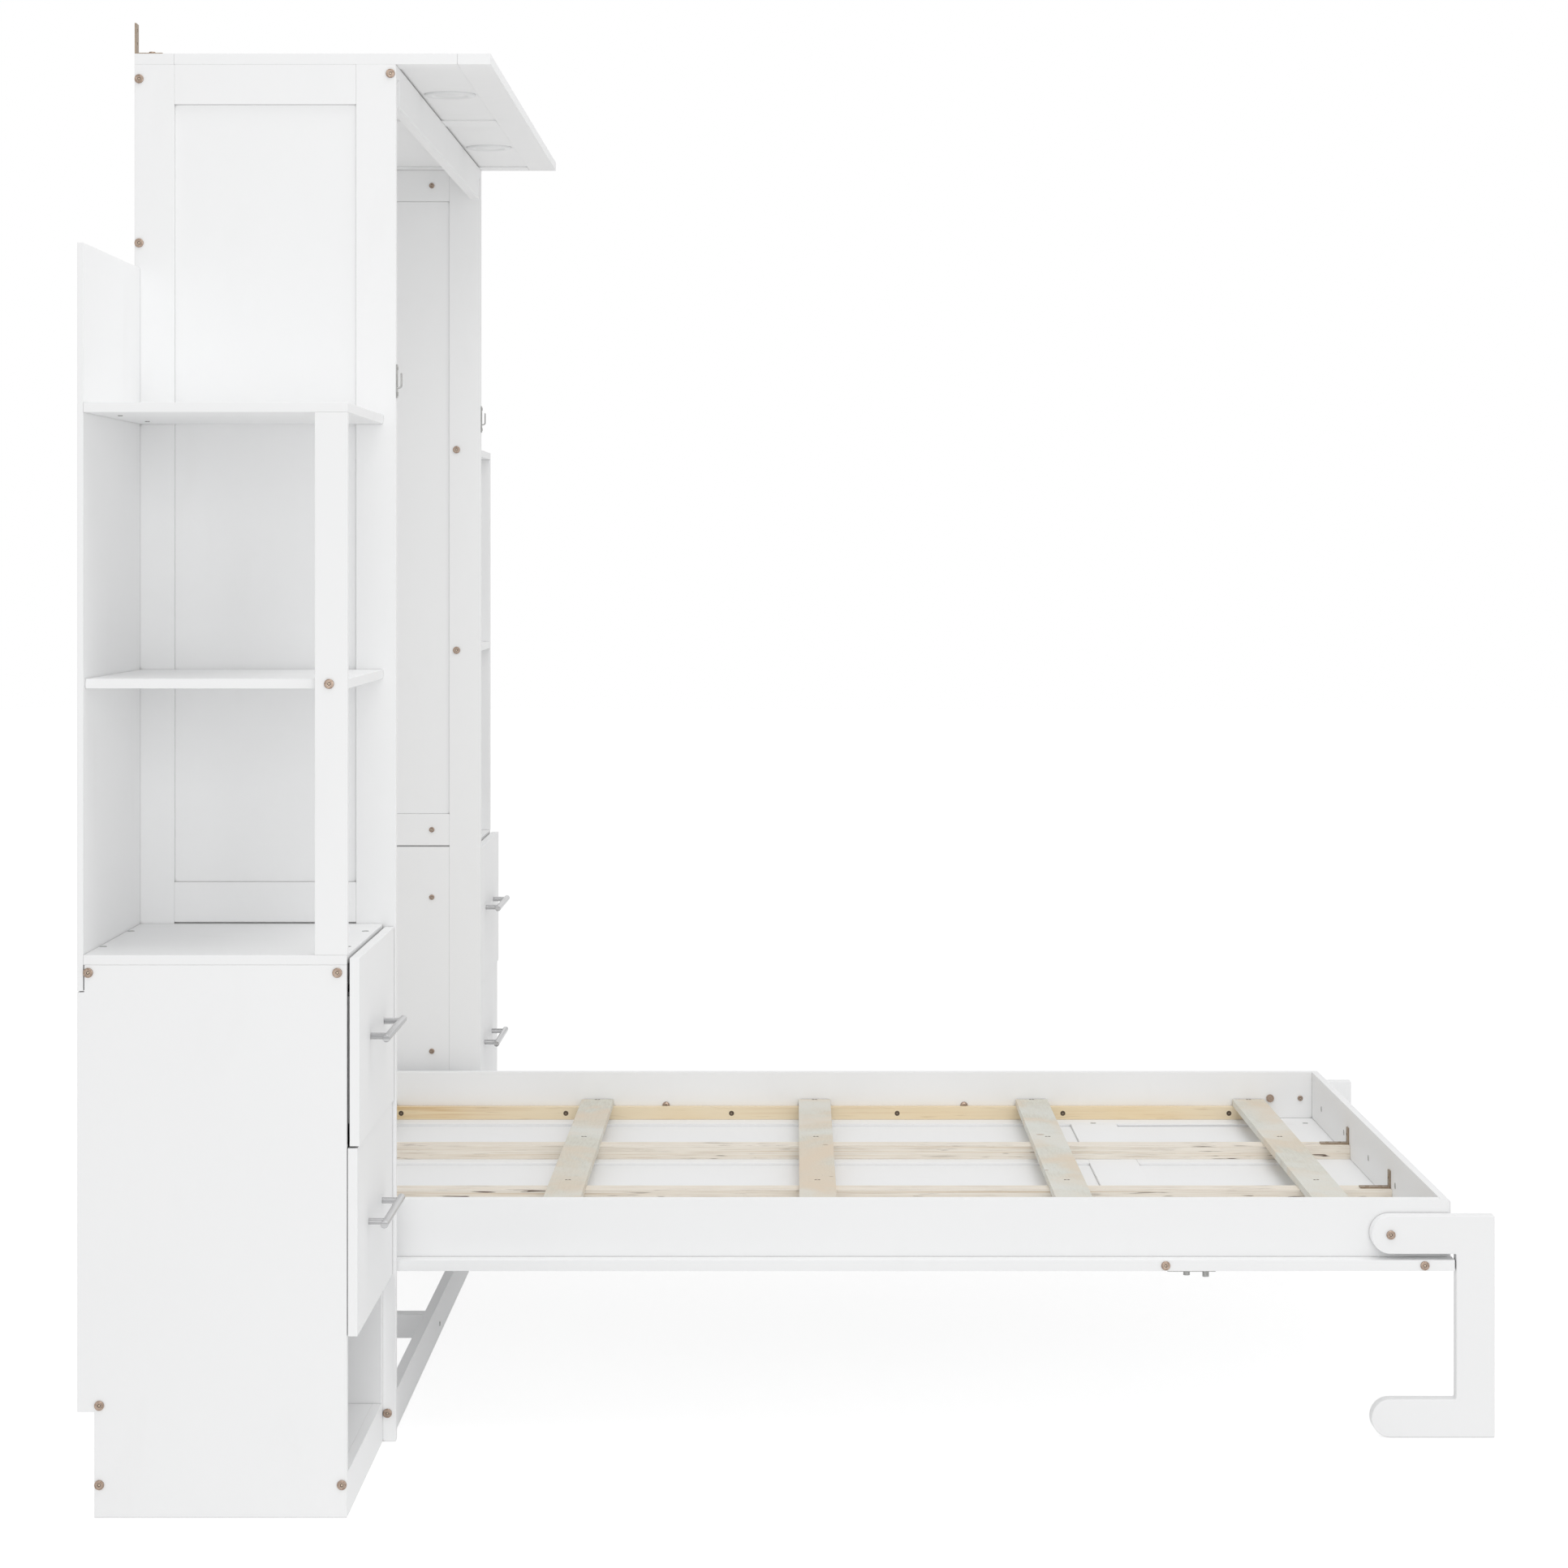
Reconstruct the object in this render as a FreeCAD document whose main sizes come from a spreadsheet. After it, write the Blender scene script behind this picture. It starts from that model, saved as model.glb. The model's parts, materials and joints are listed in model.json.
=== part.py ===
import FreeCAD, Part
import Sketcher
import os
import re

# A wall bed between two storage towers, standing on the floor with its back to a wall.
# X runs along the wall, Z is up, and the bed folds down towards -Y.
# The origin is on the floor, in the middle of the footprint with the bed down.
# In the helpers, out is measured from the middle, deep from the wall and high from the floor.

LEFT, RIGHT = -1, 1
SIDES = {"left": LEFT, "right": RIGHT}
OUTWARD, INWARD = 1, -1
SLAT_COUNT = 5
DRAWER_LEVELS = ("lower", "upper")

# Driving dimensions in millimetres
SIZES = {
    # Bed box
    "mattress_width": "1524",
    "mattress_length": "2032",
    "mattress_play_across": "12",
    "mattress_play_along": "46",
    "rail_board": "22",
    "rail_height": "96",
    "end_board": "18",
    "end_round": "8",
    "lip_width": "33",
    "bed_clear_height": "278",
    "bed_panel_board": "18",
    "bed_field_board": "8",
    "bed_edge_stile": "138",
    "bed_mid_stile": "140",
    "bed_head_rail": "122",
    "bed_cross_rail": "94",
    "bed_foot_rail": "100",
    "bed_cross_rail_setback": "434",
    "pivot_rise": "82",
    "pivot_radius": "8",
    "pivot_flange_radius": "18",
    "pivot_flange": "6",
    "pivot_end_gap": "2",
    "pivot_embed": "18",
    "running_clearance": "0.05",
    # Slats and what carries them
    "slat_width": "66",
    "slat_board": "14",
    "slat_inset": "134",
    "slat_end_play": "4",
    "ledger_width": "20",
    "ledger_height": "26",
    "beam_width": "50",
    "angle_plate": "3",
    "angle_foot": "55",
    "angle_rise": "32",
    "angle_width": "20",
    # Folding legs
    "leg_board": "28",
    "leg_arm": "64",
    "leg_reach": "109",
    "leg_gap": "3",
    "leg_side_gap": "1.5",
    "leg_lip_gap": "9.5",
    "leg_edge_round": "2",
    # Latches and hooks
    "latch_setback": "443",
    "latch_inset": "33",
    "latch_plate": "2.5",
    "latch_bar_width": "14",
    "latch_bar_round": "5",
    "latch_reach": "49",
    "latch_tail": "33",
    "latch_base_plate": "3",
    "latch_base_length": "62",
    "latch_base_width": "20",
    "latch_base_tail": "33",
    "latch_gap": "0.5",
    "latch_pin_radius": "4",
    "latch_pin_head_radius": "5.5",
    "latch_pin_head": "6",
    "latch_knob_radius": "5.5",
    "latch_knob_height": "9",
    "latch_knob_reach": "32",
    "hook_plate": "2",
    "hook_width": "14",
    "hook_play": "1.5",
    "hook_floor_gap": "4",
    "hook_lip_rise": "13",
    "hook_foot": "21",
    "hook_head": "27",
    # Bed cabinet
    "cabinet_gap": "5",
    "side_board": "18",
    "cabinet_depth": "433",
    "stile_width": "66",
    "side_rail_width": "66",
    "side_mid_rail_base": "861",
    "side_field_board": "6",
    "shadow_gap": "3",
    "joint_step": "0.4",
    "header_height": "66",
    "header_board": "18",
    "header_closing_gap": "15",
    "header_notch_height": "46",
    "header_notch_width": "43",
    "back_board": "15",
    "back_board_height": "320",
    "floor_beam_board": "18",
    "floor_beam_height": "66",
    "floor_beam_setback": "8",
    "head_gap": "21",
    "stretcher_width": "36",
    "stretcher_height": "44",
    "canopy_board": "18",
    "canopy_overhang": "157",
    "canopy_back_stile": "65",
    "canopy_front_stile": "55",
    "canopy_end_rail": "60",
    "canopy_cross_rail": "80",
    "canopy_field_board": "12",
    "disc_radius": "45",
    "disc_height": "4",
    "disc_round": "2",
    "bracket_plate": "2.5",
    "bracket_rise": "51",
    "bracket_leg": "46",
    "bracket_leg_plate": "1.5",
    "bracket_width": "26",
    "bracket_inset": "14",
    "bracket_bolt_setback": "27",
    "wall_hole_radius": "3",
    "wall_hole_low": "18",
    "wall_hole_pitch": "22",
    # Towers
    "tower_width": "495",
    "unit_board": "15",
    "unit_setback": "22",
    "unit_height": "843",
    "unit_rail_height": "40",
    "unit_rail_setback": "7",
    "unit_back_board": "5",
    "skirting_depth": "26",
    "skirting_height": "161",
    "plinth_height": "66",
    "cubby_height": "210",
    "upper_back_board": "9",
    "upper_back_tuck": "40",
    "tuck_gap": "1.5",
    "upper_back_stand": "244",
    "shelf_board": "15",
    "shelf_setback": "21",
    "lower_bay": "406",
    "upper_bay": "407",
    "post_width": "50",
    "post_board": "15",
    # Drawers
    "front_board": "15",
    "front_gap": "3",
    "front_seat_gap": "1",
    "front_side_gap": "2",
    "front_top_drop": "5",
    "drawer_board": "12",
    "drawer_bottom_board": "6",
    "drawer_headroom": "11",
    "drawer_back_gap": "1",
    "drawer_ajar": "3",
    "drawer_lift": "16",
    "drawer_side_gap": "13",
    "runner_height": "18",
    "runner_bite": "5.5",
    "runner_play": "0.3",
    "runner_drop": "60",
    "runner_end_gap": "1",
    "groove_depth": "6",
    "handle_length": "254",
    "handle_centres": "192",
    "handle_projection": "34",
    "handle_bar_radius": "6",
    "handle_post_radius": "5",
    "handle_bar_round": "0.8",
    "handle_lift": "6",
    # Fasteners
    "bolt_head_radius": "7.5",
    "bolt_head": "3",
    "bolt_head_round": "1.2",
    "bolt_radius": "3",
    "bolt_length": "42",
    "screw_length": "13",
    "bolt_play": "0.2",
    "unit_bolt_inset": "12",
    "plinth_bolt_high": "50",
    "skirting_bolt_rise": "10",
    "post_bolt_setback": "28",
    "back_bolt_inset": "24",
    "header_bolt_drop": "15",
    "beam_bolt_high": "47",
    "beam_bolt_offset": "3",
    "stile_bolt_setback": "51",
    "rail_bolt_setback": "103",
    "panel_bolt_low": "428",
    "panel_bolt_rise": "324",
    "foot_bolt_inset": "25",
    "bolt_socket_radius": "3.4",
    "screw_head_radius": "5.5",
    "screw_socket_radius": "2.6",
    "socket_depth": "2",
    "leg_bolt_radius": "5",
    "leg_bolt_gap": "0.3",
    "leg_nut_radius": "8.2",
    "leg_nut": "3",
    # How far a cutting shape runs past what it cuts
    "overrun": "1",
}

# Sizes and places that follow from the driving dimensions
PLACES = {
    # Bed, across the room's wall
    "tray_width": "mattress_width + mattress_play_across",
    "tray_length": "mattress_length + mattress_play_along",
    "rail_inner": "tray_width / 2",
    "rail_outer": "rail_inner + rail_board",
    "bed_half": "rail_outer + lip_width",
    "cabinet_inner": "bed_half + cabinet_gap",
    "cabinet_outer": "cabinet_inner + side_board",
    "tower_inner": "cabinet_outer + unit_board",
    "tower_clear": "tower_width - 2 * unit_board",
    "tower_middle": "cabinet_outer + tower_width / 2",
    "beam_offset": "tray_width / 6",
    # Bed, away from the wall and up from the floor
    "pivot_deep": "cabinet_depth - pivot_rise",
    "pivot_high": "bed_clear_height + pivot_rise",
    "head_end": "pivot_deep - (pivot_high - floor_beam_height - head_gap)",
    "head_inner": "head_end + end_board",
    "foot_inner": "head_inner + tray_length",
    "foot_end": "foot_inner + end_board",
    "bed_length": "foot_end - head_end",
    "bed_floor": "bed_clear_height + bed_panel_board",
    "slat_seat": "bed_floor + ledger_height",
    "slat_pitch": f"(tray_length - 2 * slat_inset) / {SLAT_COUNT - 1}",
    "cross_rail_deep": "foot_end - bed_cross_rail_setback - bed_cross_rail",
    "head_row_deep": "head_end + bed_head_rail",
    "head_row_length": "cross_rail_deep - head_row_deep",
    "foot_row_deep": "cross_rail_deep + bed_cross_rail",
    "foot_row_length": "foot_end - bed_foot_rail - foot_row_deep",
    "angle_foot_start": "foot_inner - angle_foot",
    "angle_foot_face": "foot_inner - angle_plate",
    "angle_head_face": "head_inner + angle_plate",
    "angle_head_end": "head_inner + angle_foot",
    "angle_top": "slat_seat + angle_plate",
    "angle_high": "slat_seat + angle_rise",
    "closed_top": "pivot_high + foot_end - pivot_deep",
    # Legs
    "leg_back": "foot_end + leg_gap",
    "leg_front": "leg_back + leg_arm",
    "leg_pivot_deep": "leg_back - leg_reach",
    "leg_arm_base": "bed_floor + leg_lip_gap",
    "leg_pivot_high": "leg_arm_base + leg_arm / 2",
    "leg_top": "leg_arm_base + leg_arm",
    "leg_inner": "rail_outer + leg_side_gap",
    "leg_outer": "leg_inner + leg_board",
    "leg_hole_radius": "leg_bolt_radius + running_clearance",
    "leg_foot_high": "leg_arm / 2",
    "leg_bolt_seat": "leg_outer + leg_bolt_gap",
    "leg_bolt_length": "leg_bolt_seat - rail_inner",
    # The wall plane, half the open depth behind the origin
    "wall_plane": "leg_front / 2",
    # Latches, and the hooks that they drop into when the bed is up
    "latch_deep": "foot_end - latch_setback",
    "latch_out": "bed_half - latch_inset",
    "latch_top": "bed_clear_height - latch_base_plate - latch_gap",
    "latch_closed_high": "pivot_high + latch_deep - pivot_deep",
    "latch_closed_back": "cabinet_depth + latch_base_plate + latch_gap",
    "hook_face": "cabinet_depth + hook_plate",
    "hook_floor": "latch_closed_high - latch_bar_width / 2 - hook_floor_gap",
    "hook_base": "hook_floor - hook_plate",
    "hook_gap_end": "latch_closed_back + latch_plate + hook_play",
    "hook_front": "hook_gap_end + hook_plate",
    "hook_lip_top": "latch_closed_high + hook_lip_rise",
    "hook_low": "latch_closed_high - hook_foot - latch_bar_width / 2",
    "hook_high": "latch_closed_high + hook_head",
    # Cabinet
    "side_height": "closed_top + header_closing_gap + header_height",
    "header_base": "side_height - header_height",
    "cabinet_top": "side_height + canopy_board",
    "field_width": "cabinet_depth - 2 * stile_width",
    "rail_face": "cabinet_inner + joint_step",
    "side_top_rail_base": "side_height - side_rail_width",
    "side_mid_rail_top": "side_mid_rail_base + side_rail_width",
    "beam_deep": "cabinet_depth - floor_beam_setback - floor_beam_board",
    "canopy_depth": "cabinet_depth + canopy_overhang",
    "canopy_front_deep": "canopy_depth - canopy_front_stile",
    "canopy_rail_length": "canopy_front_deep - canopy_back_stile",
    "canopy_field_base": "side_height + (canopy_board - canopy_field_board) / 2",
    "bracket_out": "cabinet_outer - bracket_inset",
    "wall_hole_base": "cabinet_top + wall_hole_low",
    "wall_hole_top": "wall_hole_base + wall_hole_pitch",
    # Towers
    "unit_depth": "cabinet_depth - unit_setback",
    "shelf_depth": "cabinet_depth - shelf_setback",
    "unit_back_face": "skirting_depth + unit_board + unit_back_board",
    "unit_top_high": "unit_height + unit_board",
    "unit_tuck": "unit_height - upper_back_tuck",
    "notch_base": "unit_tuck - tuck_gap",
    "notch_deep": "upper_back_board + tuck_gap",
    "cubby_top": "plinth_height + cubby_height",
    "deck_top": "cubby_top + unit_board",
    "mid_shelf_base": "unit_top_high + lower_bay",
    "mid_shelf_top": "mid_shelf_base + shelf_board",
    "upper_shelf_base": "mid_shelf_top + upper_bay",
    "upper_shelf_top": "upper_shelf_base + shelf_board",
    "upper_back_top": "upper_shelf_top + upper_back_stand",
    "upper_back_height": "upper_back_top - unit_tuck",
    # Drawers
    "front_deep": "unit_depth + front_seat_gap",
    "front_face": "front_deep + front_board",
    "front_height": "(unit_top_high - front_top_drop - cubby_top - front_gap) / 2",
    "front_pitch": "front_height + front_gap",
    "drawer_deep": "unit_back_face + drawer_back_gap",
    "drawer_depth": "front_deep - drawer_deep",
    "drawer_width": "tower_clear - 2 * drawer_side_gap",
    "drawer_inner": "tower_inner + drawer_side_gap",
    "drawer_base": "deck_top + drawer_lift",
    "drawer_height": "unit_height - unit_rail_height - drawer_headroom - drawer_base - front_pitch",
    "groove_base": "drawer_base + drawer_height - runner_drop",
    "runner_length": "drawer_depth - drawer_board - runner_end_gap",
    "runner_width": "drawer_side_gap + runner_bite",
    "handle_bar_deep": "front_face + handle_projection - handle_bar_radius",
    "handle_high": "cubby_top + front_height / 2 + handle_lift",
}

document = FreeCAD.newDocument("wall_bed")


def formula(text):
    """The text with each size written as a cell of the sheet that holds it."""

    def cell(match):
        word = match.group()
        if word in SIZES:
            return "Sizes." + word
        return "Places." + word if word in PLACES else word

    return re.sub(r"[a-z_]+", cell, text)


def fill_sheet(name, cells):
    """A sheet with one named cell for each size."""
    sheet = document.addObject("Spreadsheet::Sheet", name)
    for row, (alias, content) in enumerate(cells.items(), start=1):
        sheet.set(f"A{row}", alias)
        sheet.set(f"B{row}", content)
        sheet.setAlias(f"B{row}", alias)
    document.recompute()
    return sheet


sizes = fill_sheet("Sizes", SIZES)
places = fill_sheet("Places", {alias: "=" + formula(text) for alias, text in PLACES.items()})


def read(alias):
    """The number in the cell of that name, or zero for "0"."""
    if alias == "0":
        return 0.0
    return float((sizes if alias in SIZES else places).get(alias))


# The solids of each node, and the shapes that are drilled or cut out of a solid
nodes = {}
cuts = {}


def keep(node, *solids):
    """Files finished solids under the node that they belong to."""
    nodes.setdefault(node, []).extend(solids)
    return solids[0]


def cut_from(solid, tool):
    """Marks a shape to be taken out of a solid once all its cuts are known."""
    cuts.setdefault(solid.Name, []).append(tool)


def place(thing, out, deep, high, side=RIGHT):
    """Puts an object's own origin at a point of the bed's frame."""
    thing.setExpression("Placement.Base.x", formula(f"{side} * ({out})"))
    thing.setExpression("Placement.Base.y", formula(f"wall_plane - ({deep})"))
    thing.setExpression("Placement.Base.z", formula(high))


def bind(thing, **texts):
    """Ties properties of an object to formulas."""
    for name, text in texts.items():
        thing.setExpression(name, formula(text))
    return thing


def block(name, out, deep, high, side=RIGHT):
    """A rectangular board; out, deep and high are each its start and its size."""
    box = document.addObject("Part::Box", name)
    bind(box, Length=out[1], Width=deep[1], Height=high[1])
    start = out[0] if side == RIGHT else f"({out[0]}) + ({out[1]})"
    place(box, start, f"({deep[0]}) + ({deep[1]})", high[0], side)
    return box


def centred(width):
    """The start and size of a board that is centred on the middle of the bed."""
    return f"-({width}) / 2", width


ROUND_TURNS = {
    "out": FreeCAD.Rotation(FreeCAD.Vector(0, 1, 0), 90),
    "in": FreeCAD.Rotation(FreeCAD.Vector(0, 1, 0), -90),
    "front": FreeCAD.Rotation(FreeCAD.Vector(1, 0, 0), 90),
    "up": FreeCAD.Rotation(),
}


def rod(name, radius, length, out, deep, high, side=RIGHT, towards="out"):
    """A round bar that starts at a point and runs out, in, to the front or up."""
    bar = document.addObject("Part::Cylinder", name)
    bind(bar, Radius=radius, Height=length)
    if side == LEFT and towards in ("out", "in"):
        towards = "in" if towards == "out" else "out"
    bar.Placement = FreeCAD.Placement(FreeCAD.Vector(), ROUND_TURNS[towards])
    place(bar, out, deep, high, side)
    return bar


def joined(name, *solids):
    """Several touching shapes made one solid."""
    fusion = document.addObject("Part::MultiFuse", name)
    fusion.Shapes = list(solids)
    fusion.Refine = True
    return fusion


def less(name, solid, *tools):
    """A solid with shapes cut away."""
    tool = tools[0]
    if len(tools) > 1:
        tool = document.addObject("Part::Compound", name + "_tools")
        tool.Links = list(tools)
    cut = document.addObject("Part::Cut", name)
    cut.Base = solid
    cut.Tool = tool
    return cut


def rounded(name, solid, radius, chosen):
    """A solid with the chosen edges rounded."""
    document.recompute()
    fillet = document.addObject("Part::Fillet", name)
    fillet.Base = solid
    numbered = enumerate(solid.Shape.Edges, start=1)
    fillet.Edges = [(number, read(radius), read(radius)) for number, edge in numbered if chosen(edge)]
    return fillet


def hold(sketch, line, end, corner):
    """Holds one end of a sketched line at two named sizes from the sketch's origin."""
    for axis, alias, origin_line in (("X", corner[0], -2), ("Y", corner[1], -1)):
        if alias == "0":
            sketch.addConstraint(Sketcher.Constraint("PointOnObject", line, end, origin_line))
            continue
        held = Sketcher.Constraint("Distance" + axis, -1, 1, line, end, read(alias))
        sketch.setExpression(f"Constraints[{sketch.addConstraint(held)}]", formula(alias))


def side_sketch(body, name):
    """An empty sketch on the body's own upright plane, with deep to the right and high upwards."""
    sketch = body.newObject("Sketcher::SketchObject", name)
    plane = next(item for item in body.Origin.OriginFeatures if item.Role == "YZ_Plane")
    sketch.AttachmentSupport = (plane, [""])
    sketch.MapMode = "FlatFace"
    return sketch


def pad(body, sketch, length):
    """The sketch's outline drawn out along the wall."""
    feature = body.newObject("PartDesign::Pad", sketch.Name + "_pad")
    feature.Profile = sketch
    bind(feature, Length=length)
    sketch.Visibility = False
    return feature


def wall_body(name, out, length, side):
    """An empty body whose own Y axis runs out from the wall, with its outlines padded along the wall."""
    body = document.addObject("PartDesign::Body", name)
    body.Placement = FreeCAD.Placement(FreeCAD.Vector(), FreeCAD.Rotation(FreeCAD.Vector(0, 0, 1), 180))
    place(body, f"({out}) + ({length})" if side == RIGHT else out, "0", "0", side)
    return body


def profile(name, out, length, corners, side=RIGHT):
    """A piece with straight edges, padded along the wall from corners that are pairs of sizes."""
    body = wall_body(name, out, length, side)
    sketch = side_sketch(body, name + "_outline")
    points = [FreeCAD.Vector(read(deep), read(high), 0) for deep, high in corners]
    for start, end in zip(points, points[1:] + points[:1]):
        sketch.addGeometry(Part.LineSegment(start, end), False)
    for line, corner in enumerate(corners):
        following = (line + 1) % len(corners)
        sketch.addConstraint(Sketcher.Constraint("Coincident", line, 2, following, 1))
        hold(sketch, line, 1, corner)
    pad(body, sketch, length)
    return body


def make_bolt(name, head_radius, socket_radius, radius, length, *ends):
    """A bolt along Z with its head's seat at the origin, a rounded head and a hexagon socket."""
    head = document.addObject("Part::Cylinder", name + "_head")
    bind(head, Radius=head_radius, Height="bolt_head")
    top = rounded(name + "_top", head, "bolt_head_round", lambda edge: edge.CenterOfMass.z > 0)
    shank = document.addObject("Part::Cylinder", name + "_shank")
    bind(shank, Radius=radius, Height=length)
    shank.setExpression("Placement.Base.z", formula(f"-({length})"))
    socket = document.addObject("Part::Prism", name + "_socket")
    socket.Polygon = 6
    bind(socket, Circumradius=socket_radius, Height="bolt_head")
    socket.setExpression("Placement.Base.z", formula("bolt_head - socket_depth"))
    return less(name, joined(name + "_blank", top, shank, *ends), socket)


def set_link(link, seat, side, turn):
    """Puts a copy of a bolt at out, deep, high, turned so that its head faces the right way."""
    link.LinkPlacement = FreeCAD.Placement(FreeCAD.Vector(), turn)
    for axis, text in zip("xyz", (f"{side} * ({seat[0]})", f"wall_plane - ({seat[1]})", seat[2])):
        link.setExpression("LinkPlacement.Base." + axis, formula(text))


BOLT_HEAD = ("bolt_head_radius", "bolt_socket_radius")
SCREW_HEAD = ("screw_head_radius", "screw_socket_radius")
long_bolt = make_bolt("long_bolt", *BOLT_HEAD, "bolt_radius", "bolt_length")
short_bolt = make_bolt("short_bolt", *SCREW_HEAD, "bolt_radius", "screw_length")
leg_nut = document.addObject("Part::Cylinder", "leg_nut")
bind(leg_nut, Radius="leg_nut_radius", Height="leg_nut")
leg_nut.setExpression("Placement.Base.z", formula("-leg_bolt_length - leg_nut"))
leg_bolt = make_bolt("leg_bolt", *BOLT_HEAD, "leg_bolt_radius", "leg_bolt_length", leg_nut)
BOLT_LENGTHS = {long_bolt.Name: "bolt_length", short_bolt.Name: "screw_length"}


def add_bolt(node, kind, seat, side, facing, boards):
    """Seats a bolt at out, deep, high with its head facing out or in, and drills its boards."""
    name = f"{node}_{len(nodes.get(node, [])) + 1}"
    link = document.addObject("App::Link", name)
    link.LinkedObject = kind
    set_link(link, seat, side, ROUND_TURNS["out" if side * facing == RIGHT else "in"])
    keep(node, link)
    drilled = rod(
        name + "_bore",
        "bolt_radius + bolt_play",
        f"{BOLT_LENGTHS[kind.Name]} + 2 * overrun",
        f"({seat[0]}) + {facing} * overrun",
        seat[1],
        seat[2],
        side,
        "in" if facing == OUTWARD else "out",
    )
    for board in boards:
        cut_from(board, drilled)


def make_cabinet_side(word, side):
    """One side of the bed cabinet: two stiles, two rails, a recessed field and a flush lower panel."""
    out = ("cabinet_inner", "side_board")
    full = ("0", "side_height")
    field_deep = ("stile_width", "field_width")
    node = word + "_side_frame"
    back_stile = block(node + "_back_stile", out, ("0", "stile_width"), full, side)
    front_deep = ("cabinet_depth - stile_width", "stile_width")
    front_stile = block(node + "_front_stile", out, front_deep, full, side)
    top_rail_high = ("side_top_rail_base", "side_rail_width")
    rail_out = ("rail_face", "side_board - 2 * joint_step")
    top_rail = block(node + "_top_rail", rail_out, field_deep, top_rail_high, side)
    mid_rail_high = ("side_mid_rail_base", "side_rail_width")
    mid_rail = block(node + "_mid_rail", rail_out, field_deep, mid_rail_high, side)
    keep(node, back_stile, front_stile, top_rail, mid_rail)
    field_out = ("cabinet_inner + (side_board - side_field_board) / 2", "side_field_board")
    field_high = ("side_mid_rail_top", "side_top_rail_base - side_mid_rail_top")
    field = block(word + "_side_field", field_out, field_deep, field_high, side)
    board_high = ("0", "side_mid_rail_base - shadow_gap")
    board = block(word + "_side_lower_board", out, field_deep, board_high, side)
    tongue_high = ("side_mid_rail_base - shadow_gap", "shadow_gap")
    tongue = block(word + "_side_lower_tongue", field_out, field_deep, tongue_high, side)
    panel = joined(word + "_side_lower_panel", board, tongue)
    keep(word + "_side_panels", field, panel)
    bearing = rod(
        word + "_pivot_bore",
        "pivot_radius + running_clearance",
        "side_board + 2 * overrun",
        "cabinet_inner - overrun",
        "pivot_deep",
        "pivot_high",
        side,
    )
    cut_from(panel, bearing)
    return back_stile, front_stile, top_rail, mid_rail, panel


def make_canopy():
    """The top: a frame of stiles and rails round two recessed fields, with a round disc in each half."""
    high = ("side_height", "canopy_board")
    width = centred("2 * cabinet_outer")
    back_stile = block("canopy_back_stile", width, ("0", "canopy_back_stile"), high)
    front_stile = block("canopy_front_stile", width, ("canopy_front_deep", "canopy_front_stile"), high)
    rail_deep = ("canopy_back_stile", "canopy_rail_length")
    cross_rail = block("canopy_cross_rail", centred("canopy_cross_rail"), rail_deep, high)
    keep("canopy_frame", back_stile, front_stile, cross_rail)
    field_high = ("canopy_field_base", "canopy_field_board")
    field_out = ("canopy_cross_rail / 2", "cabinet_outer - canopy_end_rail - canopy_cross_rail / 2")
    disc_deep = "(cabinet_depth + canopy_front_deep) / 2"
    for word, side in SIDES.items():
        end_out = ("cabinet_outer - canopy_end_rail", "canopy_end_rail - joint_step")
        keep("canopy_frame", block(word + "_canopy_end_rail", end_out, rail_deep, high, side))
        keep("canopy_panels", block(word + "_canopy_field", field_out, rail_deep, field_high, side))
        disc = rod(
            word + "_canopy_disc",
            "disc_radius",
            "disc_height",
            "cabinet_outer / 2",
            disc_deep,
            "canopy_field_base - disc_height",
            side,
            "up",
        )
        middle = read("canopy_field_base") - read("disc_height") / 2
        name = word + "_canopy_disc_rim"
        keep("canopy_discs", rounded(name, disc, "disc_round", lambda edge: edge.CenterOfMass.z < middle))
    return back_stile


def make_cabinet_crosspieces():
    """The header, back board and floor beams between the cabinet's sides."""
    width = centred("2 * cabinet_inner")
    header_deep = ("cabinet_depth - header_board", "header_board")
    header = block("header_blank", width, header_deep, ("header_base", "header_height"))
    # Each lower corner is notched, so that the leg's end passes as the bed goes up
    notch_out = ("cabinet_inner - header_notch_width", "header_notch_width + overrun")
    notch_deep = ("cabinet_depth - header_board - overrun", "header_board + 2 * overrun")
    notch_high = ("header_base - overrun", "header_notch_height + overrun")
    for word, side in SIDES.items():
        cut_from(header, block(word + "_header_notch", notch_out, notch_deep, notch_high, side))
    keep("header_rail", header)
    back_high = ("side_height - back_board_height", "back_board_height")
    back = keep("back_board", block("back_board_blank", width, ("0", "back_board"), back_high))
    beam_high = ("0", "floor_beam_height")
    beam_deep = ("beam_deep", "floor_beam_board")
    beam = keep("front_floor_beam", block("front_floor_beam_blank", width, beam_deep, beam_high))
    rear = block("rear_floor_beam", width, ("0", "floor_beam_board"), beam_high)
    stretcher_deep = ("floor_beam_board", "beam_deep - floor_beam_board")
    stretcher_high = ("0", "stretcher_height")
    stretcher = block("floor_stretcher", centred("stretcher_width"), stretcher_deep, stretcher_high)
    keep("floor_rails", rear, stretcher)
    return header, back, beam, rear


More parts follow.
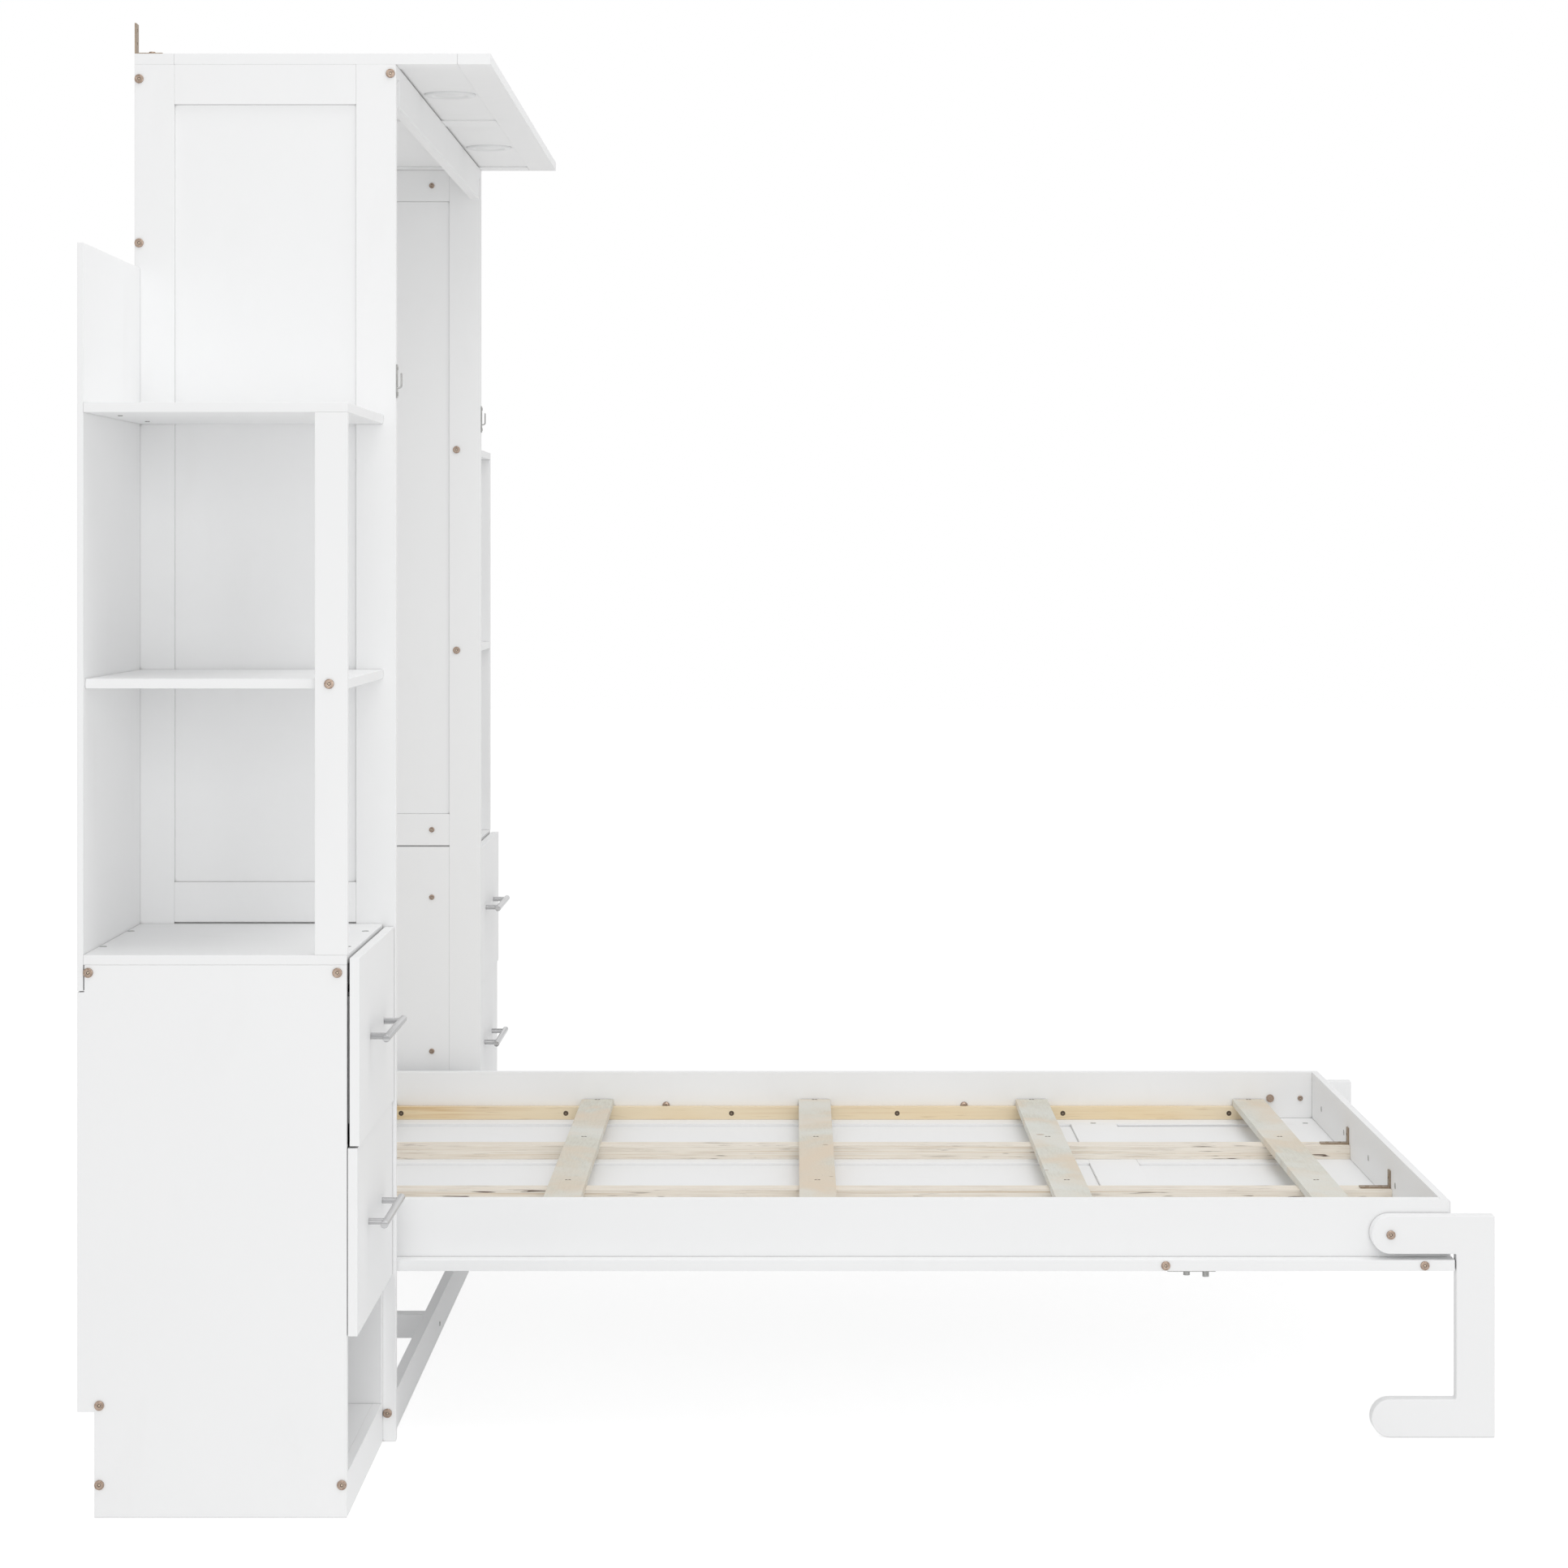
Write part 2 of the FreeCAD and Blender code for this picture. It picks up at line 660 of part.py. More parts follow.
def make_wall_brackets(canopy_stile):
    """Angle brackets on the canopy's back edge, each with two holes for wall screws and one bolt."""
    for word, side in SIDES.items():
        name = word + "_wall_bracket"
        out = ("bracket_out - bracket_width / 2", "bracket_width")
        upright = block(
            name + "_upright", out, ("0", "bracket_plate"), ("cabinet_top", "bracket_rise"), side
        )
        leg_high = ("cabinet_top", "bracket_leg_plate")
        leg = block(name + "_leg", out, ("0", "bracket_leg"), leg_high, side)
        holes = [
            rod(
                f"{name}_{level}",
                "wall_hole_radius",
                "bracket_plate + 2 * overrun",
                "bracket_out",
                "-overrun",
                level,
                side,
                "front",
            )
            for level in ("wall_hole_base", "wall_hole_top")
        ]
        bracket = joined(name, upright, leg)
        keep("wall_brackets", bracket)
        seat = "cabinet_top + bracket_leg_plate"
        bore = rod(
            name + "_bolt_bore",
            "bolt_radius + bolt_play",
            "screw_length + 2 * overrun",
            "bracket_out",
            "bracket_bolt_setback",
            f"{seat} - screw_length - overrun",
            side,
            "up",
        )
        for tool in (*holes, bore):
            cut_from(bracket, tool)
        cut_from(canopy_stile, bore)
        link = document.addObject("App::Link", name + "_bolt")
        link.LinkedObject = short_bolt
        set_link(link, ("bracket_out", "bracket_bolt_setback", seat), side, ROUND_TURNS["up"])
        keep("cabinet_bolts", link)


def make_hooks():
    """Hooks on the front edges of the cabinet's sides, open upwards."""
    corners = (
        ("cabinet_depth", "hook_low"),
        ("hook_face", "hook_low"),
        ("hook_face", "hook_base"),
        ("hook_front", "hook_base"),
        ("hook_front", "hook_lip_top"),
        ("hook_gap_end", "hook_lip_top"),
        ("hook_gap_end", "hook_floor"),
        ("hook_face", "hook_floor"),
        ("hook_face", "hook_high"),
        ("cabinet_depth", "hook_high"),
    )
    for word, side in SIDES.items():
        out = "cabinet_inner + (side_board - hook_width) / 2"
        keep("latch_hooks", profile(word + "_latch_hook", out, "hook_width", corners, side))


def make_unit(word, side):
    """The drawer unit at the foot of one tower: panels, decks, rails, top and back."""
    corners = (
        ("skirting_depth", "0"),
        ("unit_depth", "0"),
        ("unit_depth", "unit_height"),
        ("notch_deep", "unit_height"),
        ("notch_deep", "notch_base"),
        ("0", "notch_base"),
        ("0", "skirting_height"),
        ("skirting_depth", "skirting_height"),
    )
    outer_out = "cabinet_outer + tower_width - unit_board"
    outer = profile(word + "_outer_panel_body", outer_out, "unit_board", corners, side)
    keep(word + "_outer_panel", outer)
    inner = profile(word + "_inner_panel_body", "cabinet_outer", "unit_board", corners, side)
    keep(word + "_inner_panel", inner)
    clear = ("tower_inner", "tower_clear")
    top_out = ("cabinet_outer", "tower_width")
    top_deep = ("upper_back_board", "unit_depth - upper_back_board")
    keep(word + "_unit_top", block(word + "_top", top_out, top_deep, ("unit_height", "unit_board"), side))
    back_deep = ("skirting_depth + unit_board", "unit_back_board")
    floor_deep = ("unit_back_face", "unit_depth - unit_board - unit_back_face")
    floor_high = ("plinth_height - unit_board", "unit_board")
    deck_deep = ("unit_back_face", "unit_depth - unit_back_face")
    cubby_floor = block(word + "_cubby_floor", clear, floor_deep, floor_high, side)
    deck = block(word + "_drawer_deck", clear, deck_deep, ("cubby_top", "unit_board"), side)
    keep(word + "_unit_decks", cubby_floor, deck)
    plinth_deep = ("unit_depth - unit_board", "unit_board")
    plinth = block(word + "_plinth", clear, plinth_deep, ("0", "plinth_height"), side)
    rail_deep = ("skirting_depth", "unit_board")
    low_rail = block(word + "_low_back_rail", clear, rail_deep, ("0", "plinth_height"), side)
    skirting_rail_high = ("skirting_height - unit_rail_height / 2", "unit_rail_height")
    skirting_rail = block(word + "_skirting_rail", clear, rail_deep, skirting_rail_high, side)
    tuck_high = ("unit_height - unit_rail_height", "unit_rail_height")
    tuck_deep = ("upper_back_board", "unit_board")
    tuck_rail = block(word + "_top_back_rail", clear, tuck_deep, tuck_high, side)
    front_deep = ("unit_depth - unit_rail_setback - unit_board", "unit_board")
    front_rail = block(word + "_top_front_rail", clear, front_deep, tuck_high, side)
    keep(word + "_unit_rails", plinth, low_rail, skirting_rail, tuck_rail, front_rail)
    back_high = ("plinth_height - unit_board", "unit_height - plinth_height + unit_board")
    keep(word + "_backs", block(word + "_unit_back", clear, back_deep, back_high, side))
    bolted_rails = (
        ("upper_back_board + unit_board / 2", "unit_height - unit_bolt_inset", tuck_rail),
        ("unit_depth - unit_rail_setback - unit_board / 2", "unit_height - unit_bolt_inset", front_rail),
        ("skirting_depth + unit_board / 2", "skirting_height + skirting_bolt_rise", skirting_rail),
        ("skirting_depth + unit_board / 2", "plinth_bolt_high", low_rail),
        ("unit_depth - unit_board / 2", "plinth_bolt_high", plinth),
    )
    for deep, high, rail in bolted_rails:
        seat = ("cabinet_outer + tower_width", deep, high)
        add_bolt("cabinet_bolts", long_bolt, seat, side, OUTWARD, (outer, rail))


def make_shelves(word, side):
    """The open shelves above the drawer unit: back, two shelves and the outer front post."""
    wide = ("cabinet_outer", "tower_width")
    back_high = ("unit_tuck", "upper_back_height")
    keep(word + "_backs", block(word + "_upper_back", wide, ("0", "upper_back_board"), back_high, side))
    shelf_deep = ("upper_back_board", "shelf_depth - upper_back_board")
    mid_out = ("cabinet_outer", "tower_width - post_board")
    mid = block(word + "_mid_shelf", mid_out, shelf_deep, ("mid_shelf_base", "shelf_board"), side)
    upper = block(word + "_upper_shelf", wide, shelf_deep, ("upper_shelf_base", "shelf_board"), side)
    keep(word + "_shelves", mid, upper)
    post_out = ("cabinet_outer + tower_width - post_board", "post_board")
    post_deep = ("shelf_depth - post_width", "post_width")
    post_high = ("unit_top_high", "upper_shelf_base - unit_top_high")
    post = keep(word + "_post", block(word + "_post_blank", post_out, post_deep, post_high, side))
    bolt_deep = "shelf_depth - post_bolt_setback"
    seat = ("cabinet_outer + tower_width", bolt_deep, "mid_shelf_base + shelf_board / 2")
    add_bolt("cabinet_bolts", long_bolt, seat, side, OUTWARD, (post, mid))
    return mid, upper


def add_cabinet_bolts(side, frame, crosspieces, shelves):
    """Bolts through one cabinet side: into the crosspieces, and towards the tower beside it."""
    back_stile, front_stile, top_rail, mid_rail, panel = frame
    header, back, beam, rear = crosspieces
    mid_shelf, upper_shelf = shelves
    back_bolt_low = "side_height - back_board_height + back_bolt_inset"
    beam_bolt_deep = "beam_deep + floor_beam_board / 2 + beam_bolt_offset"
    outward = (
        ("back_board / 2", "side_height - back_bolt_inset", back_stile, back),
        ("back_board / 2", back_bolt_low, back_stile, back),
        ("cabinet_depth - header_board / 2", "side_height - header_bolt_drop", front_stile, header),
        (beam_bolt_deep, "beam_bolt_high", front_stile, beam),
        ("floor_beam_board / 2", "beam_bolt_high", back_stile, rear),
    )
    for deep, high, stile, board in outward:
        add_bolt("cabinet_bolts", long_bolt, ("cabinet_outer", deep, high), side, OUTWARD, (stile, board))
    stile_bolt_deep = "cabinet_depth - stile_bolt_setback"
    rail_bolt_deep = "cabinet_depth - rail_bolt_setback"
    inward = (
        ("cabinet_inner", stile_bolt_deep, "upper_shelf_base + shelf_board / 2", front_stile, upper_shelf),
        ("cabinet_inner", stile_bolt_deep, "mid_shelf_base + shelf_board / 2", front_stile, mid_shelf),
        ("rail_face", rail_bolt_deep, "side_height - side_rail_width / 2", top_rail),
        ("rail_face", rail_bolt_deep, "side_mid_rail_base + side_rail_width / 2", mid_rail),
        ("cabinet_inner", rail_bolt_deep, "panel_bolt_low + panel_bolt_rise", panel),
        ("cabinet_inner", rail_bolt_deep, "panel_bolt_low", panel),
    )
    for face, deep, high, *boards in inward:
        kind = long_bolt if len(boards) > 1 else short_bolt
        add_bolt("cabinet_bolts", kind, (face, deep, high), side, INWARD, boards)


def make_drawers(word, side):
    """Two drawers with overlay fronts, grooved boxes and bar handles, and the runners they slide on."""
    for level, level_word in enumerate(DRAWER_LEVELS):
        name = f"{word}_{level_word}"
        raised = f" + {level} * front_pitch"
        # The upper drawer is drawn a little open, the lower one shut
        opened = f" + {level} * drawer_ajar"
        front_out = ("cabinet_outer + front_side_gap", "tower_width - 2 * front_side_gap")
        front_high = ("cubby_top" + raised, "front_height")
        front_deep = ("front_deep" + opened, "front_board")
        front = block(name + "_front", front_out, front_deep, front_high, side)
        keep(name + "_drawer_front", front)
        box_deep = ("drawer_deep" + opened, "drawer_depth")
        box_high = ("drawer_base" + raised, "drawer_height")
        box = block(name + "_box", ("drawer_inner", "drawer_width"), box_deep, box_high, side)
        keep(name + "_drawer_box", box)
        hollow_out = ("drawer_inner + drawer_board", "drawer_width - 2 * drawer_board")
        hollow_deep = ("drawer_deep + drawer_board" + opened, "drawer_depth - 2 * drawer_board")
        hollow_high = ("drawer_base + drawer_bottom_board" + raised, "drawer_height")
        cut_from(box, block(name + "_hollow", hollow_out, hollow_deep, hollow_high, side))
        groove_deep = ("drawer_deep - overrun" + opened, "drawer_depth - drawer_board + overrun")
        groove_high = ("groove_base - runner_play" + raised, "runner_height + 2 * runner_play")
        runner_high = ("groove_base" + raised, "runner_height")
        groove_starts = {
            "inner": ("drawer_inner - overrun", "tower_inner"),
            "outer": (
                "drawer_inner + drawer_width - groove_depth",
                "tower_inner + tower_clear - runner_width",
            ),
        }
        for edge, (groove_start, runner_start) in groove_starts.items():
            groove_out = (groove_start, "groove_depth + overrun")
            cut_from(box, block(f"{name}_{edge}_groove", groove_out, groove_deep, groove_high, side))
            runner_out = (runner_start, "runner_width")
            runner_deep = ("drawer_deep", "runner_length")
            runner = block(f"{name}_{edge}_runner", runner_out, runner_deep, runner_high, side)
            keep("drawer_runners", runner)
        keep(name + "_handle", make_handle(name, opened, "handle_high" + raised, side))


def make_handle(name, opened, high, side):
    """A round bar handle on two posts."""
    start = "tower_middle - handle_length / 2"
    bar_at = (start, "handle_bar_deep" + opened, high, side)
    bar = rod(name + "_bar", "handle_bar_radius", "handle_length", *bar_at)
    bar_ends = rounded(name + "_bar_ends", bar, "handle_bar_round", lambda edge: len(edge.Vertexes) == 1)
    posts = [
        rod(
            f"{name}_{end}_post",
            "handle_post_radius",
            "handle_bar_deep - front_face",
            f"tower_middle {sign} handle_centres / 2",
            "front_face" + opened,
            high,
            side,
            "front",
        )
        for end, sign in (("inner", "-"), ("outer", "+"))
    ]
    return joined(name + "_grip", bar_ends, *posts)


def make_bed_panel():
    """The bed's face: a frame of stiles and rails round six thinner fields."""
    high = ("bed_clear_height", "bed_panel_board")
    field_high = ("bed_clear_height + (bed_panel_board - bed_field_board) / 2", "bed_field_board")
    inner = "bed_half - bed_edge_stile"
    rail_out = centred(f"2 * ({inner})")
    rails = {
        "head": ("head_end", "bed_head_rail"),
        "cross": ("cross_rail_deep", "bed_cross_rail"),
        "foot": ("foot_end - bed_foot_rail", "bed_foot_rail"),
    }
    for word, deep in rails.items():
        keep("bed_panel_frame", block(f"bed_{word}_rail", rail_out, deep, high))
    rows = {"head": ("head_row_deep", "head_row_length"), "foot": ("foot_row_deep", "foot_row_length")}
    middle_out = centred("2 * beam_offset - bed_mid_stile")
    mid_stile_out = ("beam_offset - bed_mid_stile / 2", "bed_mid_stile")
    side_field = "beam_offset + bed_mid_stile / 2"
    for row, deep in rows.items():
        keep("bed_panel_fields", block(f"middle_{row}_field", middle_out, deep, field_high))
    for word, side in SIDES.items():
        stile_out = (inner, "bed_edge_stile")
        stile = block(word + "_bed_stile", stile_out, ("head_end", "bed_length"), high, side)
        keep("bed_panel_frame", stile)
        for row, deep in rows.items():
            keep("bed_panel_frame", block(f"{word}_{row}_mid_stile", mid_stile_out, deep, high, side))
            field_out = (side_field, f"{inner} - ({side_field})")
            keep("bed_panel_fields", block(f"{word}_{row}_field", field_out, deep, field_high, side))
        for deep, width in (rails["cross"], rails["foot"]):
            seat = ("bed_half", f"{deep} + {width} / 2", "bed_clear_height + bed_panel_board / 2")
            add_bolt("bed_bolts", long_bolt, seat, side, OUTWARD, (stile,))


def make_bed_box():
    """The rails and end boards of the bed box, with the pins that it turns on."""
    high = ("bed_floor", "rail_height")
    end_out = centred("2 * rail_outer")
    keep("headboard", block("headboard_blank", end_out, ("head_end", "end_board"), high))
    foot = block("footboard_blank", end_out, ("foot_inner", "end_board"), high)
    face = read("wall_plane") - read("foot_end") + read("overrun")
    lowest = read("bed_floor") + read("overrun")
    outer_edges = lambda edge: edge.CenterOfMass.y < face and edge.CenterOfMass.z > lowest
    keep("footboard", rounded("footboard_rounded", foot, "end_round", outer_edges))
    for word, side in SIDES.items():
        rail_out = ("rail_inner", "rail_board")
        rail = block(word + "_rail_blank", rail_out, ("head_inner", "tray_length"), high, side)
        keep(word + "_bed_rail", rail)
        shaft_length = "pivot_embed + cabinet_outer - rail_outer - pivot_end_gap"
        pivot = ("rail_outer - pivot_embed", "pivot_deep", "pivot_high", side)
        shaft = rod(word + "_pivot_shaft", "pivot_radius", shaft_length, *pivot)
        flange_at = ("rail_outer", "pivot_deep", "pivot_high", side)
        flange = rod(word + "_pivot_flange", "pivot_flange_radius", "pivot_flange", *flange_at)
        keep("pivot_pins", joined(word + "_pivot_pin", shaft, flange))
        socket_length = "pivot_embed + overrun"
        cut_from(rail, rod(word + "_rail_bore", "pivot_radius + running_clearance", socket_length, *pivot))
        leg_bore_at = ("rail_inner - overrun", "leg_pivot_deep", "leg_pivot_high", side)
        bore_length = "rail_board + 2 * overrun"
        cut_from(rail, rod(word + "_leg_bolt_bore", "leg_hole_radius", bore_length, *leg_bore_at))
        seat = ("rail_inner", "foot_inner - foot_bolt_inset", "leg_pivot_high")
        add_bolt("bed_bolts", short_bolt, seat, side, INWARD, (rail,))


def make_slats():
    """The slats, the ledgers and beams below them, and the angle plates that hold the beams' ends."""
    carrier_high = ("bed_floor", "ledger_height")
    inside = ("head_inner", "tray_length")
    slat_span = "tray_length - 2 * slat_inset + slat_width"
    ledger_deep = ("head_inner + slat_inset - slat_width / 2", slat_span)
    for word, side in SIDES.items():
        ledger_out = ("rail_inner - ledger_width", "ledger_width")
        keep("ledgers", block(word + "_ledger", ledger_out, ledger_deep, carrier_high, side))
        beam_out = ("beam_offset - beam_width / 2", "beam_width")
        keep("slat_beams", block(word + "_beam", beam_out, inside, carrier_high, side))
        angle_out = "beam_offset - angle_width / 2"
        ends = {
            "foot": ("foot_inner", "angle_foot_start", "angle_foot_face"),
            "head": ("head_inner", "angle_head_end", "angle_head_face"),
        }
        for end, (corner, tip, face) in ends.items():
            corners = (
                (corner, "slat_seat"),
                (corner, "angle_high"),
                (face, "angle_high"),
                (face, "angle_top"),
                (tip, "angle_top"),
                (tip, "slat_seat"),
            )
            angle = profile(f"{word}_{end}_angle", angle_out, "angle_width", corners, side)
            keep("beam_angles", angle)
    for slat in range(SLAT_COUNT):
        slat_deep = (f"head_inner + slat_inset + {slat} * slat_pitch - slat_width / 2", "slat_width")
        slat_out = centred("tray_width - slat_end_play")
        keep("slats", block(f"slat_{slat + 1}", slat_out, slat_deep, ("slat_seat", "slat_board")))


def make_leg(word, side):
    """A folding leg: an upper arm, a post and a lower arm in one C, with half-round arm ends."""
    body = wall_body(word + "_leg_body", "leg_inner", "leg_board", side)
    sketch = side_sketch(body, word + "_leg_outline")
    corners = (
        ("leg_pivot_deep", "0"),
        ("leg_front", "0"),
        ("leg_front", "leg_top"),
        ("leg_pivot_deep", "leg_top"),
        ("leg_pivot_deep", "leg_arm_base"),
        ("leg_back", "leg_arm_base"),
        ("leg_back", "leg_arm"),
        ("leg_pivot_deep", "leg_arm"),
    )
    points = [FreeCAD.Vector(read(deep), read(high), 0) for deep, high in corners]
    # Straight edges run between all corners but those that the round arm ends join
    round_ends = {3: "leg_pivot_high", 7: "leg_foot_high"}
    upright = FreeCAD.Vector(0, 0, 1)
    quarter = FreeCAD.Units.Quantity("90 deg").getValueAs("rad").Value
    for line, start in enumerate(points):
        end = points[(line + 1) % len(points)]
        if line in round_ends:
            centre = FreeCAD.Vector(read("leg_pivot_deep"), read(round_ends[line]), 0)
            circle = Part.Circle(centre, upright, read("leg_arm") / 2)
            sketch.addGeometry(Part.ArcOfCircle(circle, quarter, 3 * quarter), False)
        else:
            sketch.addGeometry(Part.LineSegment(start, end), False)
    for line, corner in enumerate(corners):
        sketch.addConstraint(Sketcher.Constraint("Coincident", line, 2, (line + 1) % len(corners), 1))
        hold(sketch, line, 1, corner)
    for line in round_ends:
        centre_held = Sketcher.Constraint("DistanceX", -1, 1, line, 3, read("leg_pivot_deep"))
        index = sketch.addConstraint(centre_held)
        sketch.setExpression(f"Constraints[{index}]", formula("leg_pivot_deep"))
    blank = pad(body, sketch, "leg_board")
    document.recompute()
    eased = body.newObject("PartDesign::Fillet", word + "_leg_edges")
    eased.Base = (blank, [""])
    eased.UseAllEdges = True
    bind(eased, Radius="leg_edge_round")
    bore = rod(
        word + "_leg_bore",
        "leg_hole_radius",
        "leg_board + 2 * overrun",
        "leg_inner - overrun",
        "leg_pivot_deep",
        "leg_pivot_high",
        side,
    )
    cut_from(body, bore)
    keep(word + "_leg", body)


def make_leg_bolt(word, side):
    """The bolt that a leg turns on, with its head outside the leg and its nut inside the rail."""
    link = document.addObject("App::Link", word + "_leg_bolt")
    link.LinkedObject = leg_bolt
    turn = ROUND_TURNS["out" if side == RIGHT else "in"]
    set_link(link, ("leg_bolt_seat", "leg_pivot_deep", "leg_pivot_high"), side, turn)
    keep("bed_bolts", link)


def make_latch(word, side):
    """A swinging latch bar with a knob, on a pin that is fixed to a base plate under the bed."""
    name = word + "_latch"
    base_out = ("latch_out - latch_base_width / 2", "latch_base_width")
    base_deep = ("latch_deep - latch_base_tail", "latch_base_length")
    base_high = ("bed_clear_height - latch_base_plate", "latch_base_plate")
    plate = block(name + "_plate", base_out, base_deep, base_high, side)
    pin_low = "latch_top - latch_plate - latch_gap"
    at_pin = ("latch_out", "latch_deep")
    pin_length = "latch_plate + 2 * latch_gap"
    pin = rod(name + "_pin", "latch_pin_radius", pin_length, *at_pin, pin_low, side, "up")
    head_low = f"{pin_low} - latch_pin_head"
    head = rod(name + "_pin_head", "latch_pin_head_radius", "latch_pin_head", *at_pin, head_low, side, "up")
    keep("latch_bases", joined(name + "_base", plate, pin, head))
    bar_out = ("latch_out - latch_bar_width / 2", "latch_bar_width")
    bar_deep = ("latch_deep - latch_tail", "latch_tail + latch_reach")
    bar_low = "latch_top - latch_plate"
    blank = block(name + "_blank", bar_out, bar_deep, (bar_low, "latch_plate"), side)
    thin = read("latch_plate") + read("overrun")
    upright_edges = lambda edge: edge.Length < thin
    bar = rounded(name + "_bar", blank, "latch_bar_round", upright_edges)
    knob_at = ("latch_out", "latch_deep + latch_knob_reach", f"{bar_low} - latch_knob_height")
    knob = rod(name + "_knob", "latch_knob_radius", "latch_knob_height", *knob_at, side, "up")
    swung = joined(name + "_swing", bar, knob)
    hole_at = ("latch_out", "latch_deep", f"{bar_low} - overrun", side, "up")
    hole_radius = "latch_pin_radius + running_clearance"
    cut_from(swung, rod(name + "_hole", hole_radius, "latch_plate + 2 * overrun", *hole_at))
    keep(name, swung)


def finished(solid):
    """The solid with everything that was marked to be cut out of it taken away."""
    tools = cuts.get(solid.Name)
    return less(solid.Name + "_cut", solid, *tools) if tools else solid


crosspieces = make_cabinet_crosspieces()
make_wall_brackets(make_canopy())
make_hooks()
for side_word, side_sign in SIDES.items():
    side_frame = make_cabinet_side(side_word, side_sign)
    make_unit(side_word, side_sign)
    tower_shelves = make_shelves(side_word, side_sign)
    add_cabinet_bolts(side_sign, side_frame, crosspieces, tower_shelves)
    make_drawers(side_word, side_sign)
make_bed_panel()
make_bed_box()
make_slats()
for side_word, side_sign in SIDES.items():
    make_leg(side_word, side_sign)
    make_leg_bolt(side_word, side_sign)
    make_latch(side_word, side_sign)

# One finished object for each node: a single solid, or a group of separate solids
results = {}
for node, solids in nodes.items():
    pieces = [finished(solid) for solid in solids]
    result = pieces[0]
    if len(pieces) > 1:
        result = document.addObject("Part::Compound", node + "_group")
        result.Links = pieces
    result.Label = node
    results[node] = result
document.recompute()

# Every object is sound before anything is written
for item in document.Objects:
    if "Invalid" in item.State or "Error" in item.State:
        raise RuntimeError(f"{item.Label} did not recompute: {item.State}")
os.makedirs("parts", exist_ok=True)
for node, result in results.items():
    if result.Shape.isNull() or not result.Shape.isValid():
        raise RuntimeError(f"{node} has no sound shape")
    result.Shape.exportStep(f"parts/{node}.step")
    print(node, len(result.Shape.Solids))
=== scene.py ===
import bpy
import bmesh
import json
import math
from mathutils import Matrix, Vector


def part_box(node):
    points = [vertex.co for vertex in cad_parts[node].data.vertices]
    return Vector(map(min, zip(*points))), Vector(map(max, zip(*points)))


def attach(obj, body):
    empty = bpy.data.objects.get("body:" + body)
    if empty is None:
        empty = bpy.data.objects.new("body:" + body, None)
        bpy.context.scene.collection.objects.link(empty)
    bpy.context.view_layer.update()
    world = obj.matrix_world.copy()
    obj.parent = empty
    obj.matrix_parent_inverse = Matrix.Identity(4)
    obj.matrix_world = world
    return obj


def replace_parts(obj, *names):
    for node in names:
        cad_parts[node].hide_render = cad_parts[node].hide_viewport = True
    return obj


# The finish of a white wall bed between two storage towers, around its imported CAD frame.
# Lengths are in metres. Left is the side near the camera, at -X, and the wall is at +Y.

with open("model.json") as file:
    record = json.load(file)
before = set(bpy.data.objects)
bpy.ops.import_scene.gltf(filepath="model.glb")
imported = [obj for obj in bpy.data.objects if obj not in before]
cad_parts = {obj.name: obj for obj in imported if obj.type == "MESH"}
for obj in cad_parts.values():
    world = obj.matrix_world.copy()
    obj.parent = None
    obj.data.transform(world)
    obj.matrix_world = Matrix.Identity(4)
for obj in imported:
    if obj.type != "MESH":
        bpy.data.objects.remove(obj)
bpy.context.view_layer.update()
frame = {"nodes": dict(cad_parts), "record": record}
scene = bpy.context.scene
nodes = frame["nodes"]
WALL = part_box("back_board")[1].y
SIDES = {"left": -1, "right": 1}
UP = Vector((0, 0, 1))
DOWN = -UP
TO_ROOM = Vector((0, -1, 0))
MM = 0.001
CRISP_ANGLE = math.radians(35)
# In millimetres: points nearer than this are one, and edges under this length stay sharp
SAME_POINT, SHORT_EDGE = 0.01, 2.4


def spot(out, deep, high):
    """A point that far from the middle, from the wall and above the floor, in millimetres."""
    return Vector((out * MM, WALL - deep * MM, high * MM))


